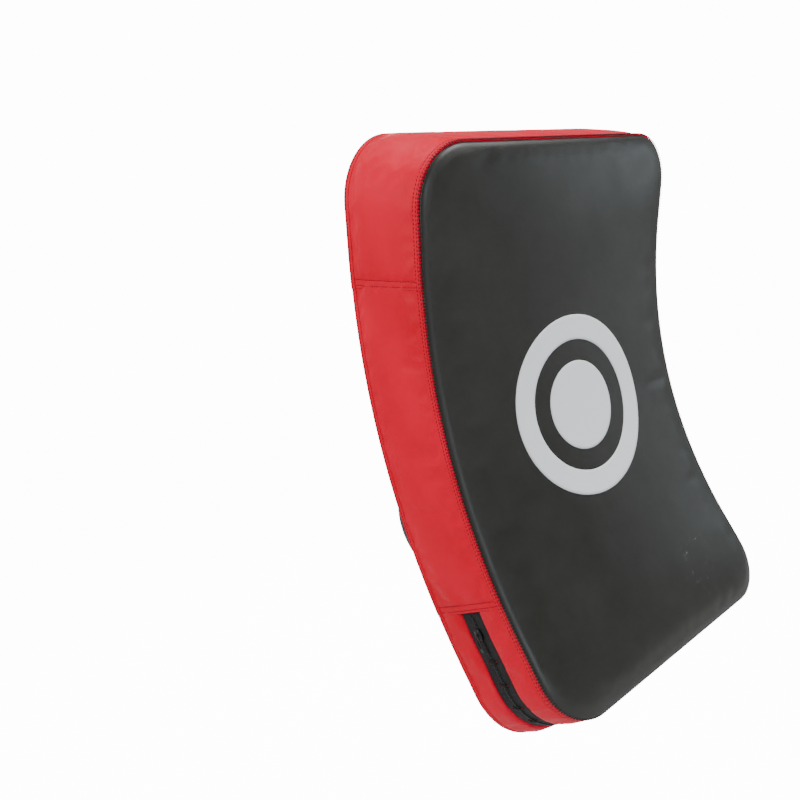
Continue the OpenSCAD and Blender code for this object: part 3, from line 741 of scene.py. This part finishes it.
# ---- zip
tape_s = np.linspace(zip_s0, zip_s1, 360)
tape_w = np.linspace(ZIP_W - TAPE / 2 - 3.5, ZIP_W + TAPE / 2 + 3.5, 41)
for name, lo, hi, cad in (("zip_tape_a", 0, 20, "zip_tape_front"), ("zip_tape_b", 21, 40, "zip_tape_back")):
    sg, wg = np.meshgrid(tape_s, tape_w[lo:hi + 1], indexing="ij")
    b = -2.35 + 0.12 * np.cos((wg - ZIP_W) * 2 * math.pi / 1.7) + 0.2 * bump_noise(sg, wg, 30.0, 77)
    p = round_edge(sg, wg, b)
    dress(sheet_mesh(name, p, 0.0006, unit(round_edge(sg, wg, b + 3) - p)), TAPE_MAT, [cad])
# interlocked turns of the coil
turns = []
for i, s in enumerate(np.arange(zip_s0 + 14.0, zip_s1 - 14.0, 1.45)):
    odd = 1 if i % 2 else -1
    s3 = s + odd * np.array([-0.25, 0.0, 0.25])
    w3 = ZIP_W + odd * 0.35 + np.array([-2.3, 0.0, 2.3])
    a = round_edge(s3, w3, -1.7)
    turns.append((a, unit(round_edge(s3, w3, 1.0) - a)))
thread("coil_turns", turns, ["zip_coil"], COIL, "zip_plastic", length=4.6, pitch=20.0, radius=0.55, sag=0.5)


def side_frame(v):
    """Axes at height v on the slider's side: outwards, towards the back, up along the coil."""
    ss = np.linspace(SL + 100, SL + 330, 4601)
    u, vv, nu, nv = outline(ss)
    i = int(np.argmin(np.abs(vv - v) + 1000 * (u > 0)))
    o = place(u[i], vv[i], ZIP_W)
    out = unit(place(u[i] + 5 * nu[i], vv[i] + 5 * nv[i], ZIP_W) - o)
    up = place(u[i - 4], vv[i - 4], ZIP_W) - place(u[i + 4], vv[i + 4], ZIP_W)
    up = unit(up - out * np.dot(up, out))
    rear = np.cross(up, out)
    return o, out, -rear if rear[1] < 0 else rear, up


def blob(centre, axes, sizes, power, rings=12, segs=20):
    """A rounded box-like ball: power 2 is an ellipsoid, more is squarer."""
    th = np.linspace(-math.pi / 2, math.pi / 2, rings)
    ph = np.linspace(0, 2 * math.pi, segs, endpoint=False)
    t, p = np.meshgrid(th, ph, indexing="ij")

    def pw(c):
        return np.sign(c) * np.abs(c) ** (2 / power)
    parts = pw(np.cos(t)) * pw(np.cos(p)), pw(np.cos(t)) * pw(np.sin(p)), pw(np.sin(t))
    pts = centre + sum(x[..., None] * axis * size for x, axis, size in zip(parts, axes, sizes)) / 1000
    return pts.reshape(-1, 3), ring_faces(rings, segs, caps=False)


at, *axes = side_frame(SLIDER_V)
out_, rear_, up_ = axes
slider = merged("slider_body", [blob(at + out_ * 0.0002, axes, (1.5, 5.0, 6.6), 3.0),
                                blob(at + out_ * 0.0016 + up_ * 0.001, axes, (1.3, 1.5, 3.2), 2.6)])
dress(slider, COIL, ["zip_slider"], body="zip_slider")
pull_c = at + out_ * 0.0036 - up_ * 0.0075
loop = np.stack([pull_c + rear_ * 0.0024 * math.cos(a) + up_ * (0.0085 * math.sin(a))
                 for a in np.linspace(0, 2 * math.pi, 36, endpoint=False)])
pull = merged("slider_pull", [loop_tube(loop, 0.0007, 8),
                              blob(pull_c - up_ * 0.0085, axes, (0.7, 2.7, 2.6), 3.0)])
dress(pull, COIL, ["zip_pull"], body="zip_slider")
# thread knots across the zip's end, a red stitch at each side of every knot
knots, ends = [], []
for v in TACK_V:
    o, ox, oy, oz = side_frame(v)
    for tilt, b in ((0.0, -1.9), (0.5, -1.6), (-0.45, -1.4), (0.15, -1.2)):
        d = oy * math.cos(tilt) + oz * math.sin(tilt)
        a = o + ox * b / 1000
        knots.append((np.stack([a - d * 0.006, a + ox * 0.0007, a + d * 0.006]), np.stack([ox] * 3)))
    for q in (-1, 1):
        a = o + oy * 0.0078 * q - ox * 0.0014
        ends.append((np.stack([a - oz * 0.0009, a + ox * 0.0003, a + oz * 0.0009]), np.stack([ox] * 3)))
thread("tack_knots", knots, ["zip_tacks"], DARK_THREAD, "black_thread", length=11.6, pitch=30.0, radius=0.85, sag=0.9)
thread("tack_ends", ends, length=1.9, pitch=30.0, radius=0.75)


# ---- back bands
def on_back(vb, x, y, z):
    """A spot in the frame standing on the back at length vb: x across, y out of the back, z up it."""
    a = np.asarray(vb, float) / R_BACK
    yy = (R_BACK + y) * np.cos(a) - R_FRONT - z * np.sin(a)
    zz = (R_BACK + y) * np.sin(a) + z * np.cos(a)
    x, yy, zz = np.broadcast_arrays(np.asarray(x, float), yy, zz)
    return np.stack([x, yy - GRIP_Y, zz - GRIP_Z], -1) / 1000.0


def tab_bulge(u, vb):
    """The flat handle ends lift the bands over them."""
    side = 1 - soft(np.abs(np.abs(u) - HANDLE_X), 22, 33)
    upper = soft(vb, UB0 - 2, UB0) * (1 - soft(vb, UB0 + 62, UB0 + 74))
    lower = soft(vb, LB1 - 74, LB1 - 62) * (1 - soft(vb, LB1, LB1 + 2))
    return 2.7 * side * (upper + lower)


def band_patch(name, v0, v1, cad, seed):
    """One band across the back from v0 to v1 along it; gives its Patch and its four stitch rows."""
    un = np.unique(np.round(np.concatenate([np.linspace(-199.6, 199.6, 131), [-199, -198, 198, 199]]), 3))
    rows_at = [v0 + 3.0, v0 + 7.0, v1 - 7.0, v1 - 3.0]
    vn = np.concatenate([np.linspace(v0, v1, 26), [v0 + 0.4, v0 + 1.0, v1 - 0.4, v1 - 1.0]] +
                        [[r - 1, r, r + 1] for r in rows_at])
    vn = np.unique(np.round(vn, 3))
    u, vb = np.meshgrid(un, vn, indexing="ij")
    edge = np.minimum(vb - v0, v1 - vb)
    x = np.clip(edge / 5.0, 0, 1)
    h = back_h(u, front_v(vb)) + 1.25 + tab_bulge(u, vb)
    h = h + 0.45 * np.sqrt(np.maximum(1 - (1 - x) ** 2, 0)) + 0.3 * bump_noise(u, vb, 45.0, seed) * soft(x, 0.2, 1)
    h = h - 1.1 * (1 - soft(edge, 0.0, 1.0))
    h = h - 1.3 * (1 - soft(HALF_W - np.abs(u), 0.2, 3.5))
    for r in rows_at:
        h = h - 0.3 * np.exp(-((vb - r) / 1.2) ** 2)
    hold = np.zeros(u.shape)
    hold[:, np.minimum(np.abs(vn - v0), np.abs(vn - v1)) < 8.2] = 1.0
    hold[:2] = hold[-2:] = 1.0
    p = relax(place(u, front_v(vb), DEPTH + h), hold, pressure=0.5, loosen=0.008, cap=0.0008)
    patch = Patch(un, vn, p)
    patch.face((60, 12), BACKWARDS)
    dress(sheet_mesh(name, p, 0.0010, patch.n), RED, [cad])
    line = np.linspace(-197.5, 197.5, 140)
    return patch, [patch.read(line, np.full(140, r)) for r in rows_at]


carry_p, rows_a = band_patch("carry_band_cover", CB0, CB1, "carry_band", 101)
upper_p, rows_b = band_patch("upper_band_cover", UB0, UB1, "upper_band", 111)
lower_p, rows_c = band_patch("lower_band_cover", LB0, LB1, "lower_band", 121)
thread("band_thread", rows_a + rows_b + rows_c, ["band_stitching"], length=3.2, pitch=4.2)


def box_rows(patch, cx, cv, wide, tall):
    """A sewn box with a cross in it, a little wavy."""
    a, b = wide / 2, tall / 2
    lines = [((-a, -b), (a, -b)), ((a, -b), (a, b)), ((a, b), (-a, b)), ((-a, b), (-a, -b)),
             ((-a, -b), (a, b)), ((a, -b), (-a, b))]
    rows = []
    for (x0, y0), (x1, y1) in lines:
        t = np.linspace(0, 1, 24)
        wob = 0.4 * np.sin(t * 9 + cx)
        rows.append(patch.read(cx + x0 + (x1 - x0) * t + wob * (y1 != y0), cv + y0 + (y1 - y0) * t + wob * (y1 == y0)))
    return rows


boxes = []
for sx in (-1, 1):
    boxes += box_rows(upper_p, sx * HANDLE_X, UB0 + 41, 50, 68)
    boxes += box_rows(lower_p, sx * HANDLE_X, LB1 - 46, 50, 68)

# woven patches over the ends of the carry handle
PATCH0, PATCH1, PATCH_IN = 93.0, 134.0, 8.5
carry_v = (CB0 + CB1) / 2
for sx, name, cad in ((-1, "carry_patch_right", ["carry_handle_patches"]), (1, "carry_patch_left", ())):
    un = np.unique(np.concatenate([np.linspace(PATCH0, PATCH1, 22), [PATCH0 + 0.4, PATCH1 - 0.4]])) * sx
    un.sort()
    vn = np.unique(np.concatenate([np.linspace(CB0 + PATCH_IN, CB1 - PATCH_IN, 34), [CB0 + 9, CB1 - 9]]))
    u, vb = np.meshgrid(un, vn, indexing="ij")
    p, nn = carry_p.read(u, vb)
    near = np.minimum(np.minimum(np.abs(u) - PATCH0, PATCH1 - np.abs(u)),
                      np.minimum(vb - CB0 - PATCH_IN, CB1 - PATCH_IN - vb))
    tab = 2.0 * (1 - soft(np.abs(vb - carry_v), 16, 24)) * (1 - soft(np.abs(u), PATCH1 - 14, PATCH1 - 4))
    p = p + nn * (0.3 + 1.0 * soft(near, 0, 1.2) + tab)[..., None] / 1000
    patch = Patch(un, vn, p)
    patch.face((10, 16), BACKWARDS)
    dress(sheet_mesh(name, p, 0.0012, patch.n), NYLON, cad)
    boxes += box_rows(patch, sx * (PATCH0 + PATCH1) / 2, carry_v, 33, 58)
thread("box_thread", boxes, ["box_stitching"], length=3.2, pitch=4.2)


# ---- rivets
RIVET = [(2.2, -6.0), (2.2, 0.2), (6.1, 0.25), (6.45, 0.55), (6.3, 0.95), (5.7, 1.1), (5.4, 1.25), (5.0, 1.9),
         (4.2, 2.6), (3.1, 3.15), (1.8, 3.45), (0.5, 3.55)]


def turned(origin, x, y, z, profile, segs=28):
    """A revolved piece: profile of (radius, height) in mm, height along z."""
    an = np.linspace(0, 2 * math.pi, segs, endpoint=False)
    verts = [origin + (x * r * math.cos(a) + y * r * math.sin(a) + z * h) / 1000 for r, h in profile for a in an]
    return np.array(verts), ring_faces(len(profile), segs)


heads = []
for sx in (-1, 1):
    for v in RIVET_V:
        (o,), (nn,) = (upper_p if v > 0 else lower_p).read(np.array([sx * HANDLE_X]), np.array([v]))
        x = np.array([1.0, 0, 0])
        heads.append(turned(o - nn * 0.0006, x, np.cross(nn, x), nn, RIVET))
dress(merged("rivet_heads", heads), BRASS, ["rivets"])


# ---- handles
def bezier(p0, t0, p1, t1, k, n):
    t = np.linspace(0, 1, n)[:, None]
    a, b = p0 + t0 * k, p1 - t1 * k
    return (1 - t) ** 3 * p0 + 3 * (1 - t) ** 2 * t * a + 3 * (1 - t) * t * t * b + t ** 3 * p1


def resample(path, step):
    d = np.concatenate([[0], np.cumsum(np.linalg.norm(np.diff(path, axis=0), axis=1))])
    q = np.linspace(0, d[-1], int(d[-1] / step) + 1)
    return np.stack([np.interp(q, d, path[:, i]) for i in range(path.shape[1])], -1), q


def across_path(path):
    """Unit directions square to a path in its plane."""
    tan = unit(np.gradient(path, axis=0))
    return np.stack([-tan[:, 1], tan[:, 0]], -1)


def gathered_tube(path, dist, half_wide, half_high, inner, gather, seed, to_world, ring=64, seamline=True):
    """A sleeve gathered on its inner side. path is (n, 2) in its bend plane, first axis along, second out of
    the back. inner is +1 or -1: which side of the path faces the inside of the bend."""
    g = np.random.default_rng(seed)
    n = len(path)
    an = np.linspace(0, 2 * math.pi, ring, endpoint=False)
    # irregular gathers, each one wandering round the tube
    pos = dist[0]
    fold = np.zeros((n, ring))
    while pos < dist[-1]:
        gap = g.uniform(5.0, 10.0)
        width = gap * g.uniform(0.22, 0.36)
        amp = g.uniform(0.6, 1.35)
        centre = g.uniform(-0.5, 0.5)
        reach = g.uniform(1.0, 2.0)
        slant = g.uniform(-3.5, 3.5)
        a0 = np.angle(np.exp(1j * (an - centre)))
        line = pos + slant * np.sin(a0) + 1.2 * np.sin(2.3 * a0 + seed)
        fold += amp * np.exp(-(a0 / reach) ** 4)[None, :] * np.exp(-((dist[:, None] - line[None, :]) / width) ** 2)
        pos += gap
    fine = np.stack([bump_noise(dist, np.full(n, a * 12.0), 5.0, seed + 5) for a in an], 1)
    face_in = 0.5 + 0.5 * np.cos(an)[None, :]
    pull_in = gather[:, None]
    r_add = pull_in * (fold * (0.3 + 0.7 * face_in) * 2.3 - 1.1 * face_in) + 0.35 * fine * pull_in * (0.3 + face_in)
    if seamline:
        r_add = r_add - 1.2 * pull_in * np.exp(-(np.angle(np.exp(1j * an)) / 0.12) ** 2)[None, :]
    hw = half_wide[:, None] + r_add * np.minimum(1, half_wide / 16)[:, None]
    hh = half_high[:, None] + r_add * np.minimum(1, half_high / 12)[:, None]
    flat = path[:, None, :] + (across_path(path) * inner)[:, None, :] * (hh * np.cos(an)[None, :])[..., None]
    return to_world(flat[..., 0], flat[..., 1], hw * np.sin(an)[None, :])


def half_height(above, share, least, most, passes, top_share, floor):
    """Half height of a sleeve from its path's height above the back, eased along its length."""
    high = np.clip(above * share, least, most)
    for _ in range(passes):
        high[1:-1] = (high[:-2] + high[1:-1] * 2 + high[2:]) / 4
    return np.maximum(np.minimum(high, np.maximum(above * top_share, least)), floor)


def handle_pieces(tag, names, path, dist, wide, high, core_wide, inner, gather, seed, world):
    """A handle's sleeve, foam tube and rolled core, each with the CAD nodes it stands for."""
    def tube(name, cut, half_wide, half_high, amount, **looks):
        pts = gathered_tube(path[cut], dist[cut], half_wide[cut], half_high[cut], inner, amount[cut], seed, world,
                            **looks)
        return solid_object(name, pts.reshape(-1, 3), ring_faces(*pts.shape[:2]))
    everything, middle, smooth = slice(None), slice(8, -8), gather * 0
    sleeve = tube(names[0], everything, wide, high, gather)
    foam = tube(names[1], middle, wide * 0.84, high * 0.8, smooth, ring=24, seamline=False)
    core = tube(names[2], middle, core_wide, np.minimum(high * 0.4, 4.5), smooth, ring=16, seamline=False)
    return [(dress(sleeve, SLEEVE, body=None), [tag + "_sleeve", tag + "_ends"]),
            (dress(foam, FOAM_A, body=None), [tag + "_foam"]),
            (dress(core, NYLON, body=None), [tag + "_webbing"])]


def bend_pieces(pieces, low, high):
    """Bakes each piece's transform into its mesh and hides the CAD nodes it stands for; low and high are not used."""
    for ob, cad in pieces:
        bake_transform(ob)
        if cad:
            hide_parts(*cad)


# grips, in mm in the plane they bend in
HANDLE_V = (UB0 + LB1) / 2
FOOT, AXIS_Y = 81.925, 6.714
UP, BEND, UP_LEG = math.radians(50), 55.0, 103.794
BEND_Y, BEND_Z = 50.872, -26.925


def grip_surf(z):
    """Height of the back's surface, with the cloth on it, at z along the grip's plane."""
    return -z * z / (2 * R_BACK) + 2.6


def grip_path():
    """Middle line of a grip: (z up the back, y out of it), from the upper band to the lower band."""
    start = np.array([95.8, grip_surf(95.8) + 1.6])
    p1 = np.array([FOOT - math.cos(UP) * 44, AXIS_Y + math.sin(UP) * 44])
    t1 = np.array([-math.cos(UP), math.sin(UP)])
    flat_z = np.linspace(116, 96.5, 8)
    under = np.stack([flat_z, grip_surf(flat_z) + 1.5], -1)
    rise = bezier(start, np.array([-1.0, 0.1]), p1, t1, 24, 30)
    top = np.array([FOOT - math.cos(UP) * UP_LEG, AXIS_Y + math.sin(UP) * UP_LEG])
    leg = np.linspace(p1, top, 20)[1:]
    a = np.linspace(math.pi / 2 - UP, math.pi, 70)[1:]
    bend = np.stack([BEND_Z + BEND * np.cos(a), BEND_Y + BEND * np.sin(a)], -1)
    q1 = np.array([-FOOT, AXIS_Y + 36])
    low = np.linspace(bend[-1], q1, 6)[1:]
    end = np.array([-95.8, grip_surf(-95.8) + 1.6])
    drop = bezier(q1, np.array([0.0, -1.0]), end, np.array([-1.0, -0.1]), 20, 30)[1:]
    tail = (under * np.array([-1, 1]))[::-1]
    return np.vstack([under, rise, leg, bend, low, drop, tail])


def add_grip(side, tag, seed):
    path, dist = resample(grip_path(), 1.6)
    above = path[:, 1] - grip_surf(path[:, 0])
    high = half_height(above, 0.93, 1.5, 19.6, 6, 0.97, 1.3)
    wide = 19.6 + 7.5 * (1 - soft(high, 1.5, 16))
    lift = soft(above, 3, 26)
    bendy = np.exp(-((dist - dist[-1] * 0.52) / (dist[-1] * 0.27)) ** 4)
    gather = lift * (0.35 + 0.75 * bendy) + 0.25 * soft(above, 1.5, 5) * (1 - lift)

    def world(z, y, x):
        return on_back(HANDLE_V, side * HANDLE_X + x, y, z)
    names = (tag.replace("handle", "grip") + "_cover", tag + "_tube_foam", tag + "_strap")
    pieces = handle_pieces(tag, names, path, dist, wide, high, np.minimum(wide * 0.5, 12.0) * 0.5 + 2.0, 1, gather,
                           seed, world)
    # raw seam edge standing along the inner side
    k0, k1 = 30, len(path) - 26
    nor = across_path(path)
    wob = 1.1 * bump_noise(dist, dist * 0, 14.0, seed + 9) + 0.5 * bump_noise(dist, dist * 0, 4.0, seed + 10)
    pink = 0.45 * np.sign(np.sin(dist * 1.6))
    fin = []
    for depth in (high - 1.2, high + 0.8, high + 2.6 + pink):
        q = path + nor * (depth - 0.9 * gather)[:, None]
        fin.append(world(q[:, 0], q[:, 1], wob * (0.4 + 0.3 * (depth > high)))[k0:k1])
    fin = np.stack(fin, 1)
    outward = np.zeros_like(fin)
    outward[..., 0] = 1.0
    edge = sheet_mesh(tag + "_seam_edge", fin, 0.0013, outward)
    pieces.append((dress(edge, SLEEVE, body=None), []))
    x = side * HANDLE_X
    bend_pieces(pieces, on_back(HANDLE_V, x, 2.0, 0), on_back(HANDLE_V, x, 34.0, 0))


add_grip(1, "left_handle", 201)
add_grip(-1, "right_handle", 301)

CARRY_AXIS, CARRY_A, CARRY_BEND, CARRY_LEG = 15.0, math.radians(40), 90.0, 23.692
CARRY_BEND_Y = CARRY_AXIS + CARRY_LEG * math.sin(CARRY_A) - CARRY_BEND * math.cos(CARRY_A)


def add_carry():
    base = 4.6
    a = np.linspace(math.pi / 2 + CARRY_A, math.pi / 2 - CARRY_A, 60)
    bend = np.stack([CARRY_BEND * np.cos(a), CARRY_BEND_Y + CARRY_BEND * np.sin(a)], -1)
    t0 = np.array([math.cos(CARRY_A), math.sin(CARRY_A)])
    start = np.array([-95.0, base + 1.4])
    rise = bezier(start, np.array([1.0, 0.08]), bend[0], t0, 15, 24)
    under = np.stack([np.linspace(-116, -95.6, 8), np.full(8, base + 1.3)], -1)
    mirrored = (np.vstack([under, rise[:-1]]) * np.array([-1, 1]))[::-1]
    path, dist = resample(np.vstack([under, rise, bend[1:], mirrored]), 1.4)
    above = path[:, 1] - base
    high = half_height(above, 0.9, 1.3, 17.6, 8, 0.95, 1.2)
    wide = 17.6 + 3.0 * (1 - soft(high, 1.3, 13))
    gather = soft(above, 3, 20) * 0.85

    def world(x, y, z):
        return on_back(carry_v, x, y, z)
    pieces = handle_pieces("carry_handle", ("carry_sleeve", "carry_tube_foam", "carry_strap"), path, dist, wide,
                           high, np.full(len(path), 5.0), -1, gather, 401, world)
    bend_pieces(pieces, on_back(carry_v, 0, 5.0, 0), on_back(carry_v, 0, 26.0, 0))


add_carry()

# ---- inner pieces keep their CAD shape
for name, mat in (("strike_foam", FOAM_A), ("core_foam", FOAM_B), ("back_foam", FOAM_A), ("rivet_washers", STEEL)):
    ob = frame["nodes"][name]
    ob.data.materials.clear()
    ob.data.materials.append(mat)


# ---- studio
def camera_split(nt, shown, cast):
    """A shader that shows one brightness itself and lights the room with another."""
    path = nt.nodes.new("ShaderNodeLightPath")
    mix = nt.nodes.new("ShaderNodeMixShader")
    nt.links.new(path.outputs["Is Camera Ray"], mix.inputs[0])
    nt.links.new(cast, mix.inputs[1])
    nt.links.new(shown, mix.inputs[2])
    return mix.outputs[0]


def studio_floor():
    s = Shader("studio_floor", {"Base Color": (0.6, 0.6, 0.6, 1), "Roughness": 0.9, "Specular IOR Level": 0.1})
    glow = node(s.tree, "ShaderNodeEmission", Strength=13.5)
    both = node(s.tree, "ShaderNodeAddShader")
    out = next(n for n in s.tree.nodes if n.type == "OUTPUT_MATERIAL")
    s.link(s.bsdf.outputs[0], both.inputs[0])
    s.link(glow.outputs[0], both.inputs[1])
    s.link(camera_split(s.tree, both.outputs[0], s.bsdf.outputs[0]), out.inputs["Surface"])
    far, z = 30, cad_box[0][2] - 0.30
    ob = mesh_object("floor", [(-far, -far, z), (far, -far, z), (far, far, z), (-far, far, z)], [[0, 1, 2, 3]], False)
    ob.data.materials.append(s.mat)


studio_floor()
world = bpy.data.worlds.new("studio")
bpy.context.scene.world = world
world.use_nodes = True
wn = world.node_tree
room = wn.nodes["Background"]
room.inputs["Strength"].default_value = 0.4
# the room is dim straight in front of the pad and bright at its sides
where = wn.nodes.new("ShaderNodeTexCoord")
ahead = node(wn, "ShaderNodeVectorMath", operation="DOT_PRODUCT")
ahead.inputs[1].default_value = (0.56, -0.82, 0.06)
wn.links.new(where.outputs["Generated"], ahead.inputs[0])
shade = ramp(wn, ahead.outputs["Value"],
             [(0.62, (1.0, 1.0, 1.0)), (0.8, (0.72, 0.8, 0.86)), (0.97, (0.16, 0.155, 0.14))])
wn.links.new(shade, room.inputs["Color"])
backdrop = wn.nodes.new("ShaderNodeBackground")
backdrop.inputs["Color"].default_value = (1, 1, 1, 1)
backdrop.inputs["Strength"].default_value = 14.0
wn.links.new(camera_split(wn, backdrop.outputs[0], room.outputs[0]), wn.nodes["World Output"].inputs["Surface"])


MIDDLE = Vector((0, -0.15, 0.12))
COOL = (0.82, 0.93, 1.0)


def area(name, at, size, power, colour=(1, 1, 1)):
    """A square light at a place counted from the pad's middle, and looking at that middle."""
    data = bpy.data.lights.new(name, "AREA")
    data.energy = power
    data.size = size
    data.color = colour
    ob = bpy.data.objects.new(name, data)
    bpy.context.scene.collection.objects.link(ob)
    ob.location = MIDDLE + Vector(at)
    ob.rotation_euler = (MIDDLE - ob.location).to_track_quat("-Z", "Y").to_euler()


area("key", (0.95, -1.55, 1.45), 1.2, 38)
area("side", (-1.7, 0.3, 0.85), 1.5, 26)
area("front", (-0.25, -2.0, 0.0), 0.7, 4.5, COOL)
area("right", (1.9, -1.2, 0.15), 0.7, 3.5, COOL)
area("top", (-0.3, -0.1, 2.1), 1.4, 24)
area("rear", (0.5, 1.9, 1.1), 1.6, 34)

# ---- camera
CAM_AT = np.array([-601.701, -498.006 - GRIP_Y, 108.695 - GRIP_Z]) / 1000
RIGHT = np.array([0.80542987, -0.53284713, -0.2595316])
DOWN = np.array([-0.26443991, 0.06881346, -0.96194399])
FORWARD = np.array([0.53042837, 0.84340894, -0.08548163])
cam = bpy.data.cameras.new("camera")
cam_ob = bpy.data.objects.new("camera", cam)
bpy.context.scene.collection.objects.link(cam_ob)
m = Matrix.Identity(4)
for i in range(3):
    m[i][0], m[i][1], m[i][2], m[i][3] = RIGHT[i], -DOWN[i], -FORWARD[i], CAM_AT[i]
cam_ob.matrix_world = m
cam.sensor_width = 36.0
cam.lens = 28.3986
cam.shift_x = 0.04317875
cam.shift_y = 0.03200875
cam.clip_start = 0.01
bpy.context.scene.camera = cam_ob

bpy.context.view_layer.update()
